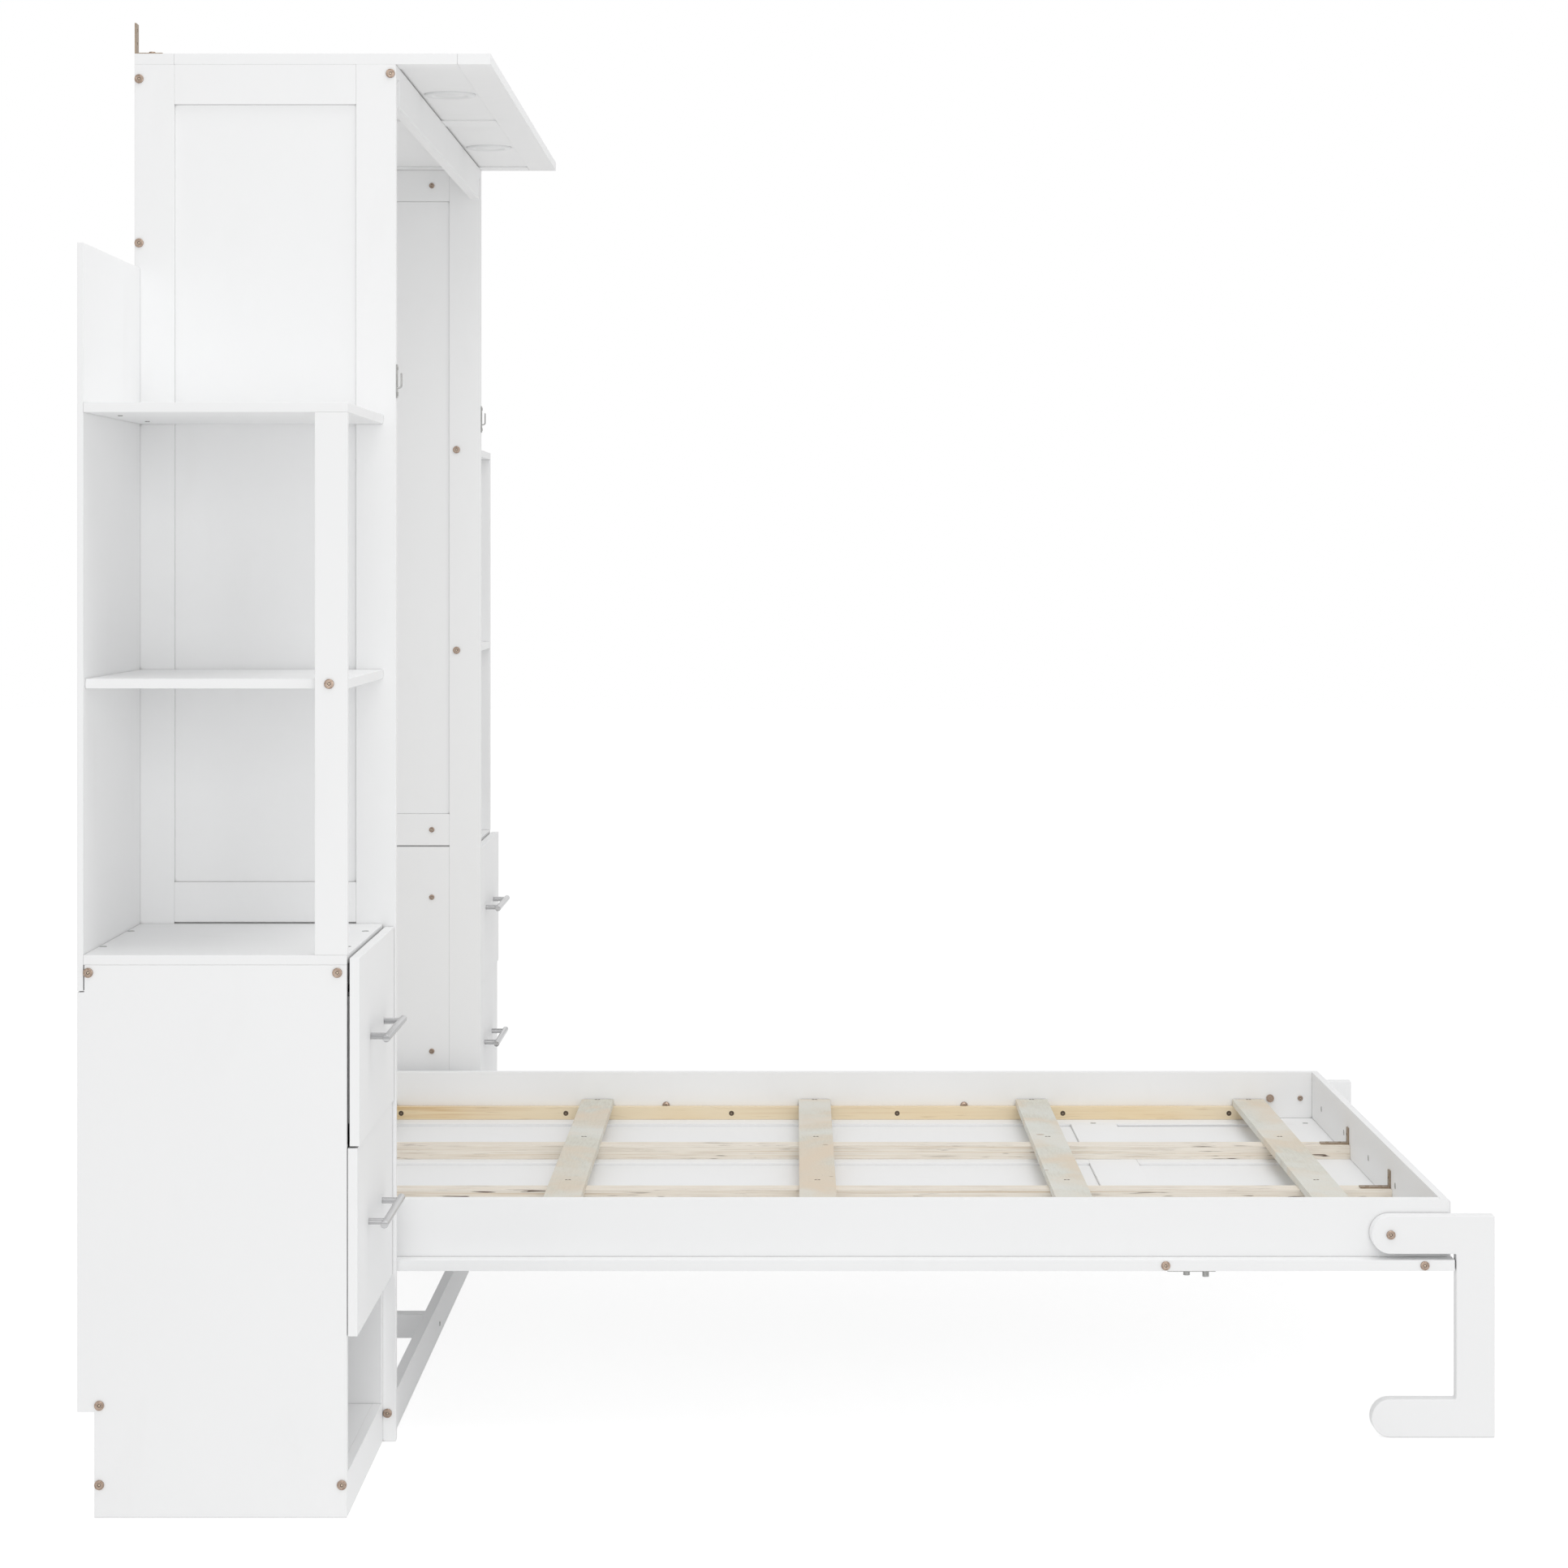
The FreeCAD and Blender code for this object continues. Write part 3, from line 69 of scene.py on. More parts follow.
class Skin:
    """A material, built a node at a time."""

    # A Mix node has sockets for each kind of data. These are its share and two colours, and their mix.
    MIX_INPUTS, MIX_RESULT = (0, 6, 7), 2

    def __init__(self, name, metal=0.0, gloss=0.5):
        self.material = bpy.data.materials.new(name)
        self.material.use_nodes = True
        self.tree = self.material.node_tree
        self.shader = self.tree.nodes["Principled BSDF"]
        self.shader.inputs["Metallic"].default_value = metal
        self.shader.inputs["Specular IOR Level"].default_value = gloss
        self.place = self.tree.nodes.new("ShaderNodeTexCoord").outputs["Object"]

    def node(self, kind, settings=None, **inputs):
        """A new node, with its settings, and its inputs set or linked by name or by number."""
        made = self.tree.nodes.new(kind)
        for name, value in (settings or {}).items():
            setattr(made, name, value)
        for name, value in inputs.items():
            numbered = name[0] == "i" and name[1:].isdigit()
            self.feed(made.inputs[int(name[1:]) if numbered else name], value)
        return made

    def feed(self, socket, value):
        """Links an output to a socket, or sets the socket to a plain value."""
        if isinstance(value, bpy.types.NodeSocket):
            self.tree.links.new(value, socket)
        else:
            socket.default_value = value

    def noise(self, scale, stretch=(1, 1, 1), detail=3.0, distortion=0.0, shift=0.0):
        """A cloudy pattern from 0 to 1, with so many features a metre along each axis."""
        mapped = self.node("ShaderNodeMapping", Vector=self.place, Scale=stretch, Location=(shift,) * 3)
        inputs = {"Scale": scale, "Detail": detail, "Distortion": distortion}
        return self.node("ShaderNodeTexNoise", Vector=mapped.outputs[0], **inputs).outputs[0]

    def ramp(self, value, *stops):
        """Colours or greys along a value, each stop given as (where, colour)."""
        made = self.node("ShaderNodeValToRGB", Fac=value)
        ramp = made.color_ramp
        while len(ramp.elements) < len(stops):
            ramp.elements.new(1.0)
        for element, (where, colour) in zip(ramp.elements, stops):
            element.position = where
            levels = colour if isinstance(colour, tuple) else (colour, colour, colour)
            element.color = (*levels, 1.0)
        return made.outputs[0]

    def mix(self, share, first, second, how="MIX"):
        """Two colours mixed by a share."""
        made = self.node("ShaderNodeMix", {"data_type": "RGBA", "blend_type": how})
        for number, value in zip(self.MIX_INPUTS, (share, first, second)):
            self.feed(made.inputs[number], (*value, 1.0) if isinstance(value, tuple) else value)
        return made.outputs[self.MIX_RESULT]

    def sum(self, first, second, how="ADD"):
        """Two numbers put together."""
        return self.node("ShaderNodeMath", {"operation": how}, i0=first, i1=second).outputs[0]

    def spread(self, value, low, high):
        """A value from 0 to 1 spread between two numbers."""
        made = self.node("ShaderNodeMapRange", Value=value)
        made.inputs["To Min"].default_value = low
        made.inputs["To Max"].default_value = high
        return made.outputs[0]

    def edges(self, radius):
        """About 1 along the edges of the shape and 0 on its faces."""
        worn = self.node("ShaderNodeBevel", {"samples": 6}, Radius=radius).outputs[0]
        flat = self.node("ShaderNodeNewGeometry").outputs["Normal"]
        turned = self.node("ShaderNodeVectorMath", {"operation": "DOT_PRODUCT"}, i0=worn, i1=flat)
        return self.ramp(turned.outputs["Value"], (0.80, 1.0), (0.985, 0.0))

    def painted_crease_shade(self, reach):
        """Painted shade mask: about 1 in grooves and inner corners and 0 on open faces, felt from that far
        by ambient occlusion.
        """
        light = self.node("ShaderNodeAmbientOcclusion", {"samples": 8}, Distance=reach).outputs["AO"]
        return self.ramp(light, (0.25, 1.0), (0.64, 0.0))

    def bump(self, height, depth, after=None):
        """The surface raised and sunk by a pattern, that deep."""
        made = self.node("ShaderNodeBump", Height=height)
        made.inputs["Strength"].default_value = 1.0
        made.inputs["Distance"].default_value = depth
        if after:
            self.feed(made.inputs["Normal"], after)
        return made.outputs[0]

    def finish(self, colour, roughness, normal):
        """The colour, roughness and relief put on the shader."""
        for name, value in (("Base Color", colour), ("Roughness", roughness), ("Normal", normal)):
            self.feed(self.shader.inputs[name], value)
        return self.material


def white_lacquer():
    """Satin white lacquer: faint clouds, a fine sprayed texture, painted shade in the joints and rubbed
    edges.
    """
    skin = Skin("white_lacquer", gloss=0.2)
    clouds = skin.noise(2.6, detail=4.0)
    tone = skin.ramp(clouds, (0.3, (0.920, 0.924, 0.928)), (0.7, (0.942, 0.945, 0.947)))
    board = skin.node("ShaderNodeNewGeometry").outputs["Random Per Island"]
    shade = skin.ramp(board, (0.0, (0.922, 0.924, 0.926)), (1.0, (0.940, 0.943, 0.945)))
    tone = skin.mix(0.5, tone, shade)
    smears = skin.noise(9.0, (1.0, 1.0, 0.35), 5.0, 0.6, 4.0)
    tone = skin.mix(skin.ramp(smears, (0.60, 0.0), (0.80, 0.16)), tone, (0.84, 0.837, 0.83))
    edge = skin.edges(0.0016)
    chips = skin.ramp(skin.noise(160.0, detail=4.0), (0.58, 0.0), (0.66, 0.55))
    tone = skin.mix(skin.sum(edge, chips, "MULTIPLY"), tone, (0.70, 0.675, 0.63))
    # Painted shade: grey mixed into the grooves, joints and inner corners found by ambient occlusion.
    tone = skin.mix(skin.sum(skin.painted_crease_shade(0.007), 0.62, "MULTIPLY"), tone, (0.38, 0.375, 0.37))
    rough = skin.sum(skin.spread(smears, 0.46, 0.60), skin.sum(edge, 0.12, "MULTIPLY"))
    sprayed = skin.bump(skin.noise(420.0, detail=2.0), 0.00006)
    return skin.finish(tone, rough, skin.bump(skin.noise(14.0, detail=2.0), 0.0003, sprayed))


def white_plastic():
    """Moulded white plastic, a little glossier than the boards, with painted shade in its creases."""
    skin = Skin("white_plastic")
    tone = skin.ramp(skin.noise(30.0), (0.3, (0.80, 0.805, 0.81)), (0.7, (0.83, 0.835, 0.84)))
    # Painted shade: grey mixed into the creases found by ambient occlusion.
    tone = skin.mix(skin.sum(skin.painted_crease_shade(0.006), 0.8, "MULTIPLY"), tone, (0.36, 0.36, 0.365))
    rough = skin.spread(skin.noise(60.0), 0.28, 0.40)
    return skin.finish(tone, rough, skin.bump(skin.noise(900.0, detail=1.0), 0.00003))


def pine():
    """Planed pine: yellow, with darker late wood in long flames, paler clouds and fine pores."""
    skin = Skin("pine", gloss=0.3)
    bend = skin.noise(2.2, (1.0, 1.0, 3.0), 2.0)
    lines = skin.noise(1.0, (75.0, 1.6, 75.0), 3.0, 0.5)
    flame = skin.sum(lines, skin.sum(bend, 0.9, "MULTIPLY"))
    years = skin.sum(flame, 4.0, "MULTIPLY")
    rings = skin.node("ShaderNodeMath", {"operation": "PINGPONG"}, i0=years, i1=1.0)
    tone = skin.ramp(
        rings.outputs[0],
        (0.0, (0.87, 0.715, 0.475)),
        (0.55, (0.84, 0.665, 0.42)),
        (0.86, (0.76, 0.55, 0.30)),
        (1.0, (0.69, 0.47, 0.235)),
    )
    pale = skin.ramp(skin.noise(1.7, (1.0, 1.0, 1.0), 2.0, 0.0, 7.0), (0.42, 0.0), (0.62, 0.6))
    tone = skin.mix(pale, tone, (0.86, 0.76, 0.59))
    pores = skin.ramp(skin.noise(1.0, (420.0, 14.0, 420.0), 2.0), (0.62, 0.0), (0.78, 0.5))
    tone = skin.mix(pores, tone, (0.52, 0.36, 0.2))
    edge = skin.edges(0.0012)
    tone = skin.mix(skin.sum(edge, 0.35, "MULTIPLY"), tone, (0.86, 0.78, 0.63))
    return skin.finish(tone, skin.spread(lines, 0.5, 0.68), skin.bump(pores, -0.0003))


def raw_beam():
    """The edges of thin veneers glued into a beam: pale, with long fibres and short dark splits."""
    skin = Skin("raw_beam", gloss=0.3)
    layers = skin.noise(1.0, (330.0, 1.4, 330.0), 3.0, 0.3)
    tone = skin.ramp(
        layers,
        (0.28, (0.76, 0.64, 0.50)),
        (0.45, (0.88, 0.82, 0.725)),
        (0.6, (0.92, 0.875, 0.80)),
        (0.78, (0.81, 0.715, 0.585)),
    )
    broad = skin.ramp(skin.noise(1.1, (1.0, 1.0, 1.0), 2.0, 0.0, 3.0), (0.4, 0.0), (0.65, 0.45))
    tone = skin.mix(broad, tone, (0.88, 0.80, 0.69))
    fibres = skin.ramp(skin.noise(1.0, (900.0, 7.0, 900.0), 3.0), (0.56, 0.0), (0.72, 0.65))
    tone = skin.mix(fibres, tone, (0.56, 0.42, 0.29))
    patches = skin.ramp(skin.noise(3.0, detail=2.0, shift=6.0), (0.46, 0.0), (0.58, 1.0))
    streaks = skin.noise(1.0, (300.0, 13.0, 300.0), 2.0, 0.2, 11.0)
    splits = skin.ramp(streaks, (0.635, 0.0), (0.675, 0.95))
    tone = skin.mix(skin.sum(splits, patches, "MULTIPLY"), tone, (0.10, 0.055, 0.035))
    relief = skin.bump(skin.sum(fibres, splits), -0.0005)
    return skin.finish(tone, skin.spread(layers, 0.6, 0.8), relief)


def raw_slat():
    """Bare plywood: a grey-green poplar face with soft tan patches, fine pores and a few knots."""
    skin = Skin("raw_slat", gloss=0.3)
    grain = skin.noise(1.0, (30.0, 260.0, 260.0), 3.0, 0.3)
    tone = skin.ramp(
        grain,
        (0.3, (0.645, 0.62, 0.54)),
        (0.55, (0.705, 0.69, 0.61)),
        (0.75, (0.735, 0.725, 0.65)),
    )
    clouds = skin.noise(4.4, (0.8, 1.3, 1.0), 4.0, 0.9, 2.0)
    tan = skin.ramp(clouds, (0.43, 0.0), (0.53, 0.50), (0.68, 0.90))
    tone = skin.mix(tan, tone, (0.765, 0.645, 0.505))
    bleached = skin.ramp(skin.noise(4.0, (0.7, 1.0, 1.0), 3.0, 0.6, 9.0), (0.47, 0.0), (0.64, 0.70))
    tone = skin.mix(bleached, tone, (0.775, 0.785, 0.745))
    flecks = skin.ramp(skin.noise(1.0, (90.0, 420.0, 420.0), 3.0, 0.4, 3.0), (0.60, 0.0), (0.74, 0.22))
    tone = skin.mix(flecks, tone, (0.56, 0.44, 0.31))
    knots = skin.ramp(skin.noise(1.0, (30.0, 24.0, 30.0), 1.0, 0.0, 5.0), (0.765, 0.0), (0.80, 0.7))
    tone = skin.mix(knots, tone, (0.42, 0.29, 0.19))
    pores = skin.ramp(skin.noise(1.0, (60.0, 900.0, 900.0), 2.0), (0.62, 0.0), (0.78, 0.25))
    tone = skin.mix(pores, tone, (0.46, 0.41, 0.33))
    edge = skin.edges(0.0012)
    tone = skin.mix(skin.sum(edge, 0.4, "MULTIPLY"), tone, (0.80, 0.77, 0.69))
    return skin.finish(tone, skin.spread(grain, 0.58, 0.76), skin.bump(pores, -0.0003))


def runner_wood():
    """Waxed beech, with small darker flecks along the grain."""
    skin = Skin("runner_wood", gloss=0.35)
    grain = skin.noise(1.0, (90.0, 2.5, 90.0), 3.0, 0.3)
    tone = skin.ramp(grain, (0.3, (0.60, 0.42, 0.26)), (0.7, (0.70, 0.53, 0.36)))
    flecks = skin.ramp(skin.noise(1.0, (600.0, 60.0, 600.0), 1.0), (0.66, 0.0), (0.74, 0.6))
    tone = skin.mix(flecks, tone, (0.42, 0.26, 0.15))
    return skin.finish(tone, skin.spread(grain, 0.42, 0.56), skin.bump(flecks, -0.0002))


def brushed_steel():
    """Brushed steel, drawn along the bar, with painted dark reflections in bands, painted shade in its
    inner corners, and brighter edges that are part rubbed wear and part painted highlight.
    """
    skin = Skin("handle_steel", metal=1.0)
    drawn = skin.noise(1.0, (6.0, 6.0, 900.0), 2.0)
    tone = skin.ramp(drawn, (0.3, (0.45, 0.45, 0.455)), (0.7, (0.61, 0.61, 0.615)))
    # Painted reflection: dark bands along the bar stand in for dark surroundings mirrored in the steel.
    painted_reflection_bands = skin.ramp(skin.noise(1.0, (1.5, 1.5, 230.0), 1.0, 0.0, 3.0), (0.44, 0.0), (0.60, 0.75))
    tone = skin.mix(painted_reflection_bands, tone, (0.27, 0.27, 0.275))
    # Painted shade: near black mixed into the inner corners found by ambient occlusion.
    tone = skin.mix(skin.sum(skin.painted_crease_shade(0.006), 0.85, "MULTIPLY"), tone, (0.12, 0.12, 0.125))
    # Paler edges: part rubbed wear, part painted highlight.
    tone = skin.mix(skin.sum(skin.edges(0.0008), 0.6, "MULTIPLY"), tone, (0.74, 0.74, 0.75))
    return skin.finish(tone, skin.spread(drawn, 0.22, 0.38), skin.bump(drawn, 0.00005))


def plated(name, dull, bright, rim_wear_and_painted_highlight, painted_hollow_shade, low, high):
    """Plated metal: cloudy, with pale rims that are part rubbed wear and part painted highlight, and
    painted shade in its hollows.
    """
    skin = Skin(name, metal=1.0)
    cloudy = skin.noise(260.0, detail=4.0)
    tone = skin.ramp(cloudy, (0.3, dull), (0.7, bright))
    # Painted shade: a dark tone mixed into the hollows and sockets found by ambient occlusion.
    tone = skin.mix(skin.sum(skin.painted_crease_shade(0.004), 0.92, "MULTIPLY"), tone, painted_hollow_shade)
    # Pale rims: part rubbed wear, part painted highlight on the rounded edges.
    tone = skin.mix(skin.sum(skin.edges(0.0007), 0.8, "MULTIPLY"), tone, rim_wear_and_painted_highlight)
    return skin.finish(tone, skin.spread(cloudy, low, high), skin.bump(cloudy, 0.00008))


# Plated metals: dull and bright tone, rim tone (part rubbed wear, part painted highlight), painted hollow
# shade, and the lowest and highest roughness
BRONZE = ((0.28, 0.205, 0.16), (0.47, 0.365, 0.295), (0.88, 0.82, 0.76), (0.03, 0.02, 0.015), 0.22, 0.36)
BRASS = ((0.70, 0.56, 0.42), (0.88, 0.76, 0.60), (0.92, 0.84, 0.72), (0.50, 0.38, 0.27), 0.25, 0.4)
BRONZE_SHEET = ((0.25, 0.19, 0.14), (0.40, 0.32, 0.24), (0.62, 0.54, 0.44), (0.06, 0.04, 0.03), 0.38, 0.55)
ZINC = ((0.27, 0.27, 0.26), (0.43, 0.43, 0.42), (0.68, 0.68, 0.67), (0.05, 0.05, 0.05), 0.30, 0.46)
BLACKENED = ((0.05, 0.04, 0.03), (0.12, 0.09, 0.07), (0.30, 0.24, 0.18), (0.012, 0.010, 0.008), 0.35, 0.5)
finishes = {
    "white_lacquer": white_lacquer(),
    "white_plastic": white_plastic(),
    "pine": pine(),
    "raw_beam": raw_beam(),
    "raw_slat": raw_slat(),
    "runner_wood": runner_wood(),
    "handle_steel": brushed_steel(),
    "bronze_bolt": plated("bronze_bolt", *BRONZE),
    "bronze_plate": plated("bronze_plate", *BRONZE_SHEET),
    "zinc_steel": plated("zinc_steel", *ZINC),
    "dark_screw": plated("dark_screw", *BLACKENED),
    "brass": plated("brass", *BRASS),
}


def soft_edges():
    """Geometry nodes that join each board's faces along its edges and keep its corners crisp."""
    group = bpy.data.node_groups.new("soft_edges", "GeometryNodeTree")
    for way in ("INPUT", "OUTPUT"):
        group.interface.new_socket("Geometry", in_out=way, socket_type="NodeSocketGeometry")
    flow = [group.nodes.new("NodeGroupInput")]
    flow.append(group.nodes.new("GeometryNodeRemoveAttribute"))
    flow[-1].inputs["Name"].default_value = "custom_normal"
    flow.append(group.nodes.new("GeometryNodeMergeByDistance"))
    flow[-1].inputs["Distance"].default_value = SAME_POINT * MM
    flow.append(group.nodes.new("GeometryNodeSetShadeSmooth"))
    flow.append(group.nodes.new("GeometryNodeSetShadeSmooth"))
    crisp = flow[-1]
    crisp.domain = "EDGE"
    crisp.inputs["Shade Smooth"].default_value = False
    angle = group.nodes.new("GeometryNodeInputMeshEdgeAngle")
    steep = group.nodes.new("FunctionNodeCompare")
    steep.inputs[1].default_value = CRISP_ANGLE
    group.links.new(angle.outputs["Unsigned Angle"], steep.inputs[0])
    group.links.new(steep.outputs["Result"], crisp.inputs["Selection"])
    # Only the boards' own edges are rounded, not the short chords round a bore
    ends = group.nodes.new("GeometryNodeInputMeshEdgeVertices")
    span = group.nodes.new("ShaderNodeVectorMath")
    span.operation = "DISTANCE"
    group.links.new(ends.outputs["Position 1"], span.inputs[0])
    group.links.new(ends.outputs["Position 2"], span.inputs[1])
    long = group.nodes.new("FunctionNodeCompare")
    long.inputs[1].default_value = SHORT_EDGE * MM
    group.links.new(span.outputs["Value"], long.inputs[0])
    chosen = group.nodes.new("FunctionNodeBooleanMath")
    group.links.new(steep.outputs["Result"], chosen.inputs[0])
    group.links.new(long.outputs["Result"], chosen.inputs[1])
    flow.append(group.nodes.new("GeometryNodeStoreNamedAttribute"))
    flow[-1].domain = "EDGE"
    flow[-1].inputs["Name"].default_value = "bevel_weight_edge"
    group.links.new(chosen.outputs[0], flow[-1].inputs["Value"])
    flow.append(group.nodes.new("NodeGroupOutput"))
    for first, second in zip(flow, flow[1:]):
        group.links.new(first.outputs[0], second.inputs[0])
    return group


edge_group = soft_edges()
OTHER_LOOKS = {"wall_brackets": "bronze_plate"}
# How far each material's edges are rounded, in millimetres
EDGE_ROUNDS = {
    "white_lacquer": 0.8,
    "pine": 0.7,
    "raw_beam": 0.6,
    "raw_slat": 0.7,
    "runner_wood": 0.8,
    "zinc_steel": 0.4,
}
EDGE_SEGMENTS = 2
for part in frame["record"]["subparts"]:
    thing = nodes[part["node"]]
    look = OTHER_LOOKS.get(part["node"], part["material_slot"])
    thing.material_slots[0].material = finishes[look]
    if part["material_slot"] in EDGE_ROUNDS:
        thing.modifiers.new("joined", "NODES").node_group = edge_group
        rounding = thing.modifiers.new("rounded", "BEVEL")
        rounding.width = EDGE_ROUNDS[part["material_slot"]] * MM
        rounding.segments = EDGE_SEGMENTS
        rounding.limit_method = "WEIGHT"
        rounding.use_clamp_overlap = False
        rounding.harden_normals = True


def piece(name, body, slot, build, finish=None):
    """A new piece that rides on a body, made by a function that fills its mesh."""
    shape = bmesh.new()
    build(shape)
    bmesh.ops.recalc_face_normals(shape, faces=shape.faces)
    mesh = bpy.data.meshes.new(name)
    shape.to_mesh(mesh)
    shape.free()
    mesh.materials.append(finishes[finish or slot])
    mesh.shade_smooth()
    mesh.set_sharp_from_angle(angle=CRISP_ANGLE)
    made = bpy.data.objects.new(name, mesh)
    scene.collection.objects.link(made)
    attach(made, body)
    return made


def turned(shape, centre, axis, rings, steps=36):
    """Adds a closed turned form of rings (radius, height). A radius may depend on the angle."""
    axis = axis.normalized()
    side = axis.orthogonal().normalized()
    across = axis.cross(side)
    loops = []
    for radius, height in rings:
        loop = []
        for step in range(steps):
            angle = 2 * math.pi * step / steps
            reach = (radius(angle) if callable(radius) else radius) * MM
            arm = side * math.cos(angle) + across * math.sin(angle)
            loop.append(shape.verts.new(centre + axis * height * MM + arm * reach))
        loops.append(loop)
    for low, high in zip(loops, loops[1:]):
        for step in range(steps):
            after = (step + 1) % steps
            shape.faces.new((low[step], low[after], high[after], high[step]))
    shape.faces.new(loops[0])
    shape.faces.new(loops[-1])


def cross(arm, width):
    """The outline of a cross recess."""

    def radius(angle):
        turn = (angle + math.pi / 4) % (math.pi / 2) - math.pi / 4
        return min(arm / math.cos(turn), width / max(abs(math.sin(turn)), 0.001))

    return radius


def hexagon(half):
    """The outline of a hexagon socket, that far from its middle to a flat."""
    return lambda angle: half / math.cos(angle % (math.pi / 3) - math.pi / 6)


def pan_head(size):
    """The rings of a low domed screw head with a cross recess."""
    arm, width = 0.55 * size, 0.16 * size
    return (
        (size, 0.0),
        (size, 0.14 * size),
        (0.94 * size, 0.26 * size),
        (0.78 * size, 0.36 * size),
        (cross(arm, width), 0.40 * size),
        (cross(0.8 * arm, 0.8 * width), 0.16 * size),
    )


def sunk_head(size):
    """The rings of a sunk screw: a pressed rim round a lower head with a cross recess."""
    arm, width = 0.42 * size, 0.13 * size
    return (
        (size, 0.0),
        (0.98 * size, 0.06 * size),
        (0.9 * size, 0.09 * size),
        (0.76 * size, 0.05 * size),
        (0.72 * size, 0.02 * size),
        (cross(arm, width), 0.03 * size),
        (cross(0.8 * arm, 0.8 * width), 0.01 * size),
    )


def socket_head(size):
    """The rings of a low button head with a hexagon socket."""
    return (
        (size, 0.0),
        (size, 0.16 * size),
        (0.93 * size, 0.30 * size),
        (0.76 * size, 0.40 * size),
        (hexagon(0.40 * size), 0.42 * size),
        (hexagon(0.36 * size), 0.14 * size),
    )


# In millimetres: a bolt's head is its widest ring under this radius, which leaves out the leg bolts' nuts
LARGEST_HEAD = 7.8


def off_axis(offset, axis):
    """How far an offset leads away from an axis."""
    return math.hypot(*(offset[other] for other in range(3) if other != axis))


def bolt_faces(node):
    """The middle of each bolt head's face in a node and the way it looks, from the loose meshes."""
    shape = bmesh.new()
    shape.from_mesh(nodes[node].data)
    shape.transform(nodes[node].matrix_world)
    bmesh.ops.remove_doubles(shape, verts=shape.verts, dist=SAME_POINT * MM)
    left = set(shape.verts)
    faces = []
    for first in shape.verts:
        if first not in left:
            continue
        left.remove(first)
        reached = [first]
        bolt = list(reached)
        while reached:
            near = {edge.other_vert(vert) for vert in reached for edge in vert.link_edges} & left
            left -= near
            reached = list(near)
            bolt += reached
        low = Vector([min(vert.co[axis] for vert in bolt) for axis in range(3)])
        high = Vector([max(vert.co[axis] for vert in bolt) for axis in range(3)])
        long = max(range(3), key=lambda axis: high[axis] - low[axis])
        middle = (low + high) / 2
        rings = [(off_axis(vert.co - middle, long), vert) for vert in bolt]
        heads = [ring for ring in rings if ring[0] < LARGEST_HEAD * MM]
        widest = max(heads, key=lambda ring: ring[0])[1]
        way = Vector((0, 0, 0))
        way[long] = 1 if widest.co[long] > middle[long] else -1
        face = middle.copy()
        face[long] = (high if way[long] > 0 else low)[long]
        faces.append((face, way))
    shape.free()
    return faces


def many(rings, axis, places):
    """A function that fills a mesh with the same turned form at several places."""

    def build(shape):
        for place in places:
            turned(shape, place, axis, rings)

    return build


def wire(shape, points, radius, sides=8):
    """Adds a closed round wire along points that lie in an upright plane."""
    loops = []
    for index, point in enumerate(points):
        before, after = points[max(index - 1, 0)], points[min(index + 1, len(points) - 1)]
        along = (after - before).normalized()
        level = along.cross(UP).normalized()
        raised = level.cross(along)
        angles = [2 * math.pi * side / sides for side in range(sides)]
        arms = [level * math.cos(angle) + raised * math.sin(angle) for angle in angles]
        loops.append([shape.verts.new(point + arm * radius) for arm in arms])
    for low, high in zip(loops, loops[1:]):
        for side in range(sides):
            after = (side + 1) % sides
            shape.faces.new((low[side], low[after], high[after], high[side]))
    shape.faces.new(loops[0])
    shape.faces.new(loops[-1])


# Places read from the photograph, in millimetres: from the middle, from the wall and above the floor
LEDGER_FACE, LEDGER_MIDDLE, LEDGER_TOP = 748, 309, 322
LEDGER_SCREWS = (274, 617, 962, 1307, 1652, 1998)
RAIL_FACE, RAIL_BOLTS, RAIL_BOLT_RISE = 768, (825, 1447), 1
SLAT_TOP, SLAT_ROWS = 336, (230, 682.5, 1135, 1587.5, 2040)
STAPLE_COLUMNS = (-758, -256, 256, 758)
BEAMS = (-256, 256)
HEAD_FACE, FOOT_FACE = 96, 2174
ANGLE_PLATE, ANGLE_REACHES, ANGLE_RISE = 3, (18, 42), 20
TOWER_MIDDLE, TOWER_SCREW_OFFSET = 1093.5, 122
UNIT_TOP, UNIT_TOP_ROWS = 858, (16.5, 397)
SHELF_UNDER, SHELF_ROW = 1686, 43
PANEL_TOP, PANEL_SCREWS, PANEL_SCREW_ROWS = 296, (-697, 697), (1711, 2150)
FOOT_SCREWS, FOOT_SCREW_HIGH = (-630, -315, 0, 315, 630), 335
FLOOR_BEAM_FACE, FLOOR_BEAM_SCREW_HIGH = 425, 23
HOOK_OUT, HOOK_FACE, HOOK_SCREWS = 837, 435, (1736, 1779)
HOOK_FLOOR, HOOK_LIP = 1747, 1771
LATCH_UNDER, LATCH_SCREW_ROWS = 275, (1728, 1774)

# Sizes of the added pieces, in millimetres: radii of heads, then the staples, hooks, discs and studs
LEDGER_HEAD, BOLT_HEAD, BOARD_HEAD, SHELF_HEAD = 5.2, 7.5, 6.0, 4.0
BEAM_HEAD, ANGLE_HEAD, LATCH_HEAD, HOOK_HEAD = 4.5, 3.4, 3.2, 3.2
STAPLE_WIRE = 0.65
STAPLE_LENGTHS = (-5.2, -4.6, -3.4, -1.6, 0.0, 1.6, 3.4, 4.6, 5.2)
STAPLE_RISES = (-0.5, 0.15, 0.35, 0.1, -0.35, 0.1, 0.35, 0.15, -0.5)
HOOK_WIDTH, HOOK_BEND, HOOK_BEND_STEPS, HOOK_EDGE = 14, 4, 8, 0.4
DISC_RADIUS, DISC_STEPS = 45, 72
DISC_RIM = ((DISC_RADIUS, 0), (DISC_RADIUS, 2.2), (44.2, 3.4), (42.4, 4.0), (32, 3.2), (30.6, 1.8))
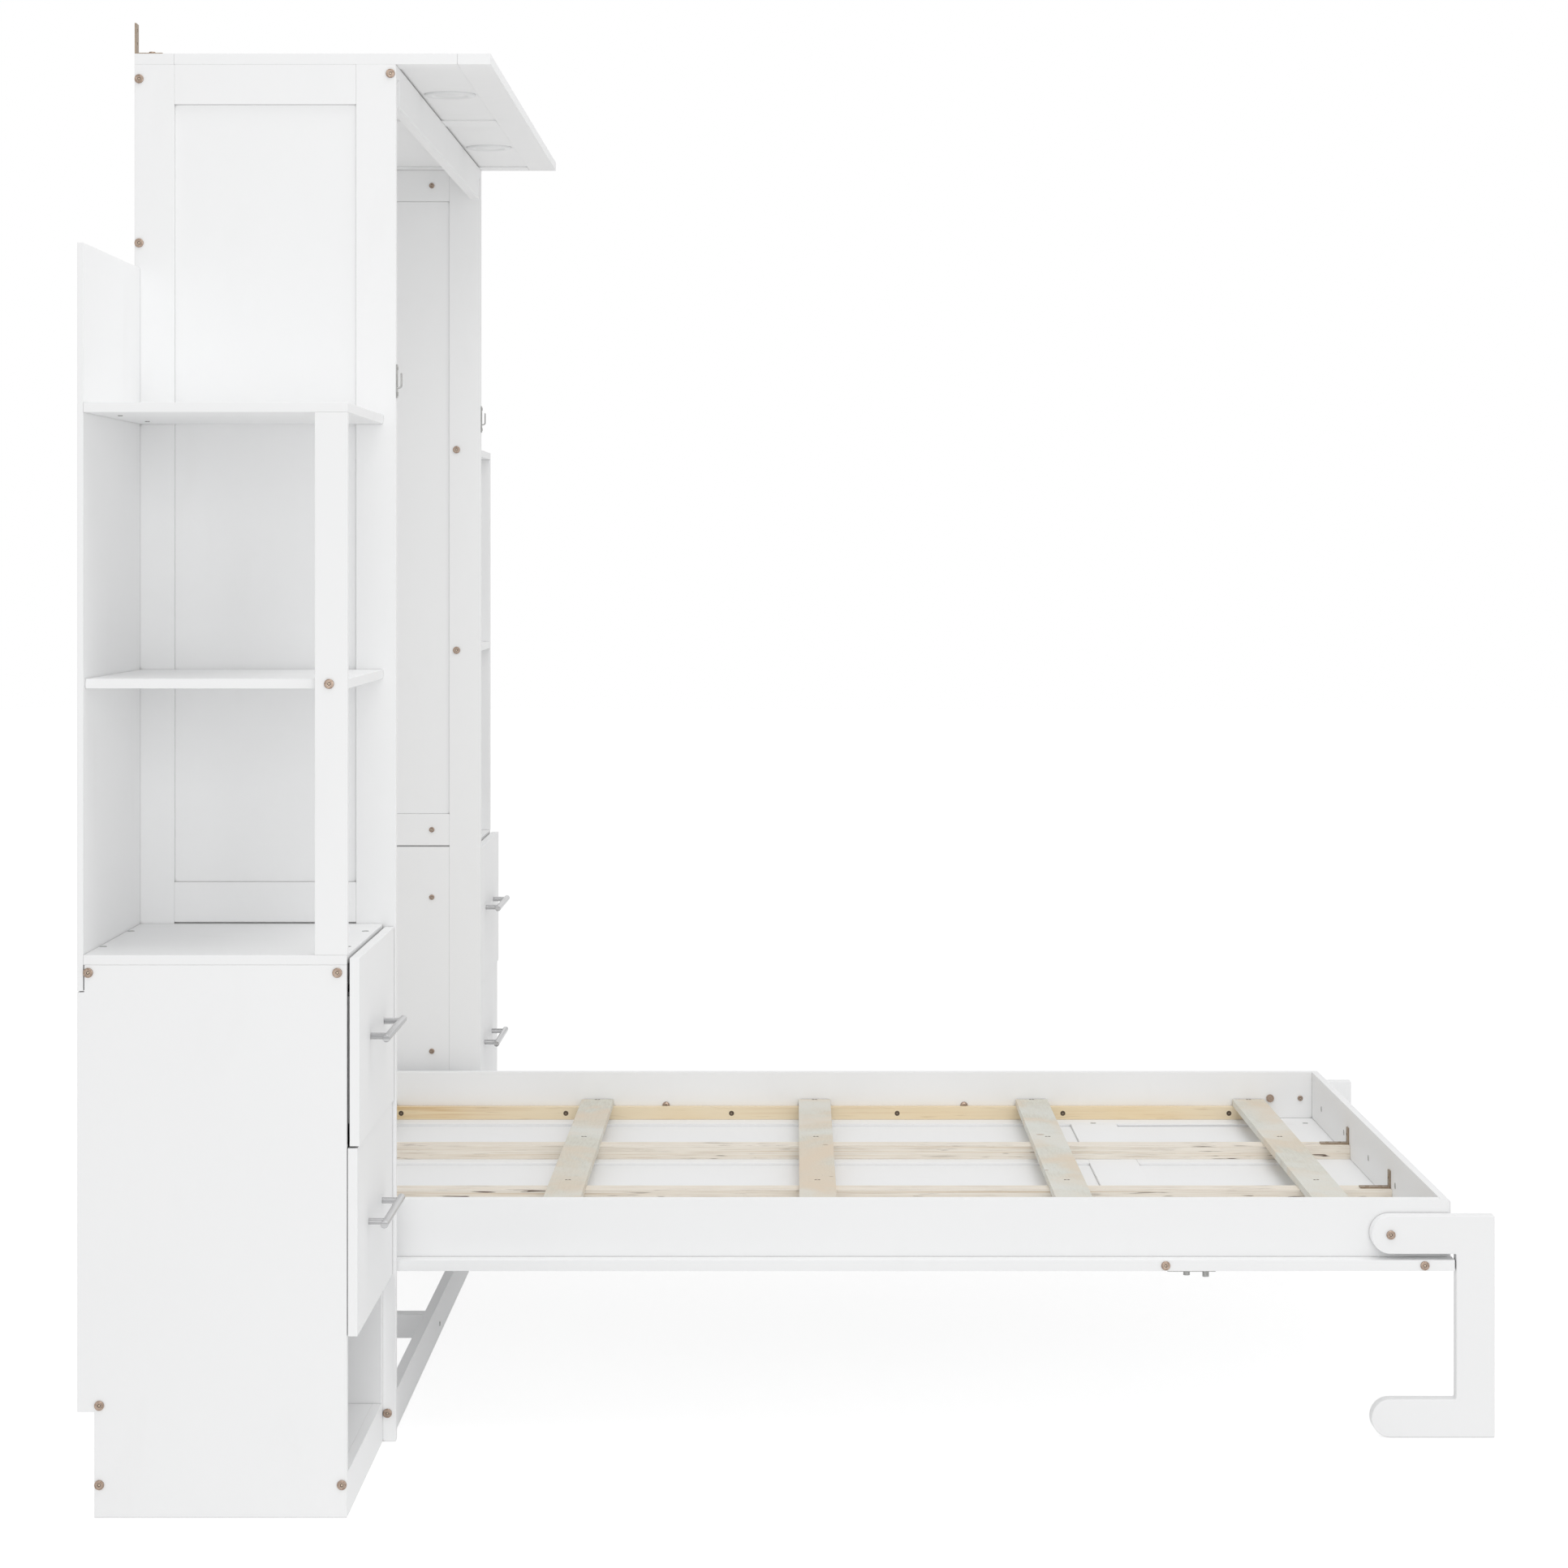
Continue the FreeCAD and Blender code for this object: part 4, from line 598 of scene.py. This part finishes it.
DISC_MIDDLE = ((29, 1.4), (24.5, 1.4), (23.6, 2.0), (17, 2.9), (9, 3.3), (1, 3.4))
STUD_RINGS = ((1.4, -1.9), (1.35, -1.1), (1.1, -0.8), (0.7, -0.65), (0.2, -0.6))
STUD_STEPS = 20


def add_bed_details():
    """Screws, staples and half-hidden bolt heads on the bed."""
    for word, side in SIDES.items():
        inward = Vector((-side, 0, 0))
        places = [spot(side * LEDGER_FACE, deep, LEDGER_MIDDLE) for deep in LEDGER_SCREWS]
        screws = many(sunk_head(LEDGER_HEAD), inward, places)
        piece(word + "_ledger_screws", "bed", "bronze_bolt", screws, "dark_screw")

        def half_heads(shape):
            for deep in RAIL_BOLTS:
                place = spot(side * RAIL_FACE, deep, LEDGER_TOP + RAIL_BOLT_RISE)
                turned(shape, place, inward, socket_head(BOLT_HEAD))
            geometry = [*shape.verts, *shape.edges, *shape.faces]
            cut = {"plane_co": spot(0, 0, LEDGER_TOP), "plane_no": DOWN, "clear_outer": True}
            kept = bmesh.ops.bisect_plane(shape, geom=geometry, **cut)
            edges = [item for item in kept["geom_cut"] if isinstance(item, bmesh.types.BMEdge)]
            bmesh.ops.holes_fill(shape, edges=edges)

        piece(word + "_rail_bolt_heads", "bed", "bronze_bolt", half_heads)

    def staples(shape):
        points = list(zip(STAPLE_LENGTHS, STAPLE_RISES))
        for out in STAPLE_COLUMNS:
            for deep in SLAT_ROWS:
                line = [spot(out, deep + length, SLAT_TOP + rise) for length, rise in points]
                wire(shape, line, STAPLE_WIRE * MM)

    piece("slat_staples", "bed", "zinc_steel", staples, "dark_screw")
    panel_places = [spot(out, deep, PANEL_TOP) for out in PANEL_SCREWS for deep in PANEL_SCREW_ROWS]
    piece("bed_panel_screws", "bed", "zinc_steel", many(sunk_head(BOARD_HEAD), UP, panel_places))
    foot_places = [spot(out, FOOT_FACE, FOOT_SCREW_HIGH) for out in FOOT_SCREWS]
    piece("footboard_screws", "bed", "zinc_steel", many(sunk_head(BOARD_HEAD), -TO_ROOM, foot_places))

    def angle_screws(shape):
        for out in BEAMS:
            for face, away in ((HEAD_FACE, 1), (FOOT_FACE, -1)):
                for reach in ANGLE_REACHES:
                    place = spot(out, face + away * reach, LEDGER_TOP + ANGLE_PLATE)
                    turned(shape, place, UP, pan_head(ANGLE_HEAD))
                place = spot(out, face + away * ANGLE_PLATE, LEDGER_TOP + ANGLE_RISE)
                turned(shape, place, TO_ROOM * away, pan_head(ANGLE_HEAD))

    piece("angle_screws", "bed", "bronze_plate", angle_screws)
    latch_out = sum(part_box("left_latch")[corner].x for corner in (0, 1)) / 2 / MM
    columns = (latch_out, -latch_out)
    latch_places = [spot(out, deep, LATCH_UNDER) for out in columns for deep in LATCH_SCREW_ROWS]
    piece("latch_screws", "bed", "zinc_steel", many(pan_head(LATCH_HEAD), DOWN, latch_places))


def add_cabinet_details():
    """Screws on the towers and cabinet, the bent hooks, and the stepped discs under the canopy."""
    for word, side in SIDES.items():
        offsets = (-TOWER_SCREW_OFFSET, TOWER_SCREW_OFFSET)
        columns = [side * (TOWER_MIDDLE + offset) for offset in offsets]
        tops = [spot(out, deep, UNIT_TOP) for out in columns for deep in UNIT_TOP_ROWS]
        piece(word + "_unit_top_screws", "cabinet", "zinc_steel", many(sunk_head(BOARD_HEAD), UP, tops))
        under = [spot(out, SHELF_ROW, SHELF_UNDER) for out in columns]
        piece(word + "_shelf_screws", "cabinet", "zinc_steel", many(pan_head(SHELF_HEAD), DOWN, under))
    beam_place = [spot(0, FLOOR_BEAM_FACE, FLOOR_BEAM_SCREW_HIGH)]
    piece("floor_beam_screw", "cabinet", "zinc_steel", many(pan_head(BEAM_HEAD), TO_ROOM, beam_place))
    hooks = [spot(out, HOOK_FACE, high) for out in (-HOOK_OUT, HOOK_OUT) for high in HOOK_SCREWS]
    piece("hook_screws", "cabinet", "zinc_steel", many(pan_head(HOOK_HEAD), TO_ROOM, hooks))

    hook_low, hook_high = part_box("latch_hooks")
    back, front = ((WALL - hook.y) / MM for hook in (hook_high, hook_low))
    low, high = hook_low.z / MM, hook_high.z / MM
    sheet = HOOK_FACE - back
    turns = [math.pi / 2 * step / HOOK_BEND_STEPS for step in range(HOOK_BEND_STEPS + 1)]
    middle = (front - sheet - HOOK_BEND, HOOK_FLOOR + HOOK_BEND)

    def bend(radius):
        """The hook's bend as points (deep, high), from its floor up to its prong."""
        arms = [(radius * math.sin(turn), radius * math.cos(turn)) for turn in turns]
        return [(middle[0] + forward, middle[1] - down) for forward, down in arms]

    outline = [(back, low), (HOOK_FACE, low), (HOOK_FACE, HOOK_FLOOR - sheet), *bend(HOOK_BEND + sheet)]
    shoulder = HOOK_LIP - sheet / 2
    outline += [(front, shoulder), (front - sheet / 2, HOOK_LIP), (front - sheet, shoulder)]
    outline += [*reversed(bend(HOOK_BEND)), (HOOK_FACE, HOOK_FLOOR), (HOOK_FACE, high), (back, high)]

    def bent_hooks(shape):
        for side in SIDES.values():
            start = side * hook_high.x / MM
            ring = [shape.verts.new(spot(start, *point)) for point in outline]
            other = [shape.verts.new(spot(start - side * HOOK_WIDTH, *point)) for point in outline]
            shape.faces.new(ring)
            shape.faces.new(other)
            for step, vert in enumerate(ring):
                shape.faces.new((ring[step - 1], vert, other[step], other[step - 1]))

    hooks_made = piece("bent_hooks", "cabinet", "zinc_steel", bent_hooks)
    soft = hooks_made.modifiers.new("rounded", "BEVEL")
    soft.width = HOOK_EDGE * MM
    soft.segments = EDGE_SEGMENTS
    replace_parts(hooks_made, "latch_hooks")

    disc_low, disc_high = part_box("canopy_discs")

    def discs(shape):
        middle = (disc_low + disc_high) / 2
        out = disc_high.x - DISC_RADIUS * MM
        for side in SIDES.values():
            place = Vector((side * out, middle.y, disc_high.z))
            turned(shape, place, DOWN, DISC_RIM + DISC_MIDDLE, DISC_STEPS)

    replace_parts(piece("stepped_discs", "cabinet", "white_plastic", discs), "canopy_discs")


def add_socket_studs():
    """A bright stud in the bottom of each bolt's socket."""
    for body in ("cabinet", "bed"):

        def studs(shape):
            for face, way in bolt_faces(body + "_bolts"):
                turned(shape, face, way, STUD_RINGS, STUD_STEPS)

        piece(body + "_bolt_studs", body, "bronze_bolt", studs, "brass")


add_bed_details()
add_cabinet_details()
add_socket_studs()


# Camera, from the vanishing point and scale of the photograph, whose pixels the focal length and aim are in
PHOTO = 1932
FOCAL_PIXELS = 4614
AIM_RIGHT, AIM_UP = -14, -274
CAMERA_PLACE = (-7051, 1095, 1458)
camera = bpy.data.objects.new("camera", bpy.data.cameras.new("camera"))
scene.collection.objects.link(camera)
camera.location = spot(*CAMERA_PLACE)
camera.rotation_euler = (math.radians(90), 0, math.radians(-90))
camera.data.lens = camera.data.sensor_width * FOCAL_PIXELS / PHOTO
camera.data.shift_x = AIM_RIGHT / PHOTO
camera.data.shift_y = AIM_UP / PHOTO
scene.camera = camera
scene.view_settings.view_transform = "Standard"


def seen(tree):
    """1 where a camera, mirror or glass ray looks, and 0 for light falling on the object."""
    path = tree.nodes.new("ShaderNodeLightPath")
    total = path.outputs["Is Camera Ray"]
    for name in ("Is Glossy Ray", "Is Transmission Ray"):
        more = tree.nodes.new("ShaderNodeMath")
        more.operation = "MAXIMUM"
        tree.links.new(total, more.inputs[0])
        tree.links.new(path.outputs[name], more.inputs[1])
        total = more.outputs[0]
    return total


def light_room(fill):
    """A white room: white where it is looked at, and an even fill light."""
    world = bpy.data.worlds.new("room")
    world.use_nodes = True
    tree = world.node_tree
    sky = tree.nodes["Background"]
    sky.inputs["Color"].default_value = (1, 1, 1, 1)
    level = tree.nodes.new("ShaderNodeMapRange")
    level.inputs["To Min"].default_value = fill
    level.inputs["To Max"].default_value = 1.0
    tree.links.new(seen(tree), level.inputs["Value"])
    tree.links.new(level.outputs[0], sky.inputs["Strength"])
    scene.world = world


def lamp(name, place, aim, size, power):
    """A large soft lamp."""
    made = bpy.data.objects.new(name, bpy.data.lights.new(name, "AREA"))
    scene.collection.objects.link(made)
    made.location = place
    made.rotation_euler = (Vector(aim) - Vector(place)).to_track_quat("-Z", "Y").to_euler()
    made.data.size = size
    made.data.energy = power


# The floor's half width and drop, its grey and glow where it is seen, and the light it sends up
FLOOR_HALF, FLOOR_DROP = 30.0, 0.0005
FLOOR_GREY, FLOOR_GLOW, FLOOR_BOUNCE = 0.34, 0.80, 0.16


def lay_floor():
    """A plain white floor that keeps a soft shadow of the object."""
    mesh = bpy.data.meshes.new("floor")
    corners = ((-1, -1), (1, -1), (1, 1), (-1, 1))
    points = [(x * FLOOR_HALF, y * FLOOR_HALF, -FLOOR_DROP) for x, y in corners]
    mesh.from_pydata(points, [], [(0, 1, 2, 3)])
    floor = bpy.data.objects.new("floor", mesh)
    scene.collection.objects.link(floor)
    skin = Skin("floor", gloss=0.0)
    tone = skin.ramp(skin.noise(0.7), (0.3, (0.80, 0.80, 0.80)), (0.7, (0.82, 0.82, 0.82)))
    paint = skin.finish(tone, 0.9, skin.bump(skin.noise(40.0), 0.0002))
    shown = skin.node("ShaderNodeBsdfDiffuse", Color=(FLOOR_GREY, FLOOR_GREY, FLOOR_GREY, 1))
    glow = skin.node("ShaderNodeEmission", Strength=FLOOR_GLOW)
    lit = skin.node("ShaderNodeAddShader", i0=shown.outputs[0], i1=glow.outputs[0])
    bounce = skin.node("ShaderNodeEmission", Strength=FLOOR_BOUNCE)
    sent = skin.node("ShaderNodeAddShader", i0=skin.shader.outputs[0], i1=bounce.outputs[0])
    both = skin.node("ShaderNodeMixShader", i0=seen(skin.tree), i1=sent.outputs[0], i2=lit.outputs[0])
    skin.tree.links.new(both.outputs[0], skin.tree.nodes["Material Output"].inputs["Surface"])
    mesh.materials.append(paint)


light_room(fill=0.635)
lamp("key", place=(-7.0, -0.6, 2.0), aim=(0, 0.2, 1.0), size=3.0, power=66)
lamp("top", place=(-1.2, -0.8, 5.6), aim=(0, 0.0, 1.0), size=3.5, power=78)
lay_floor()
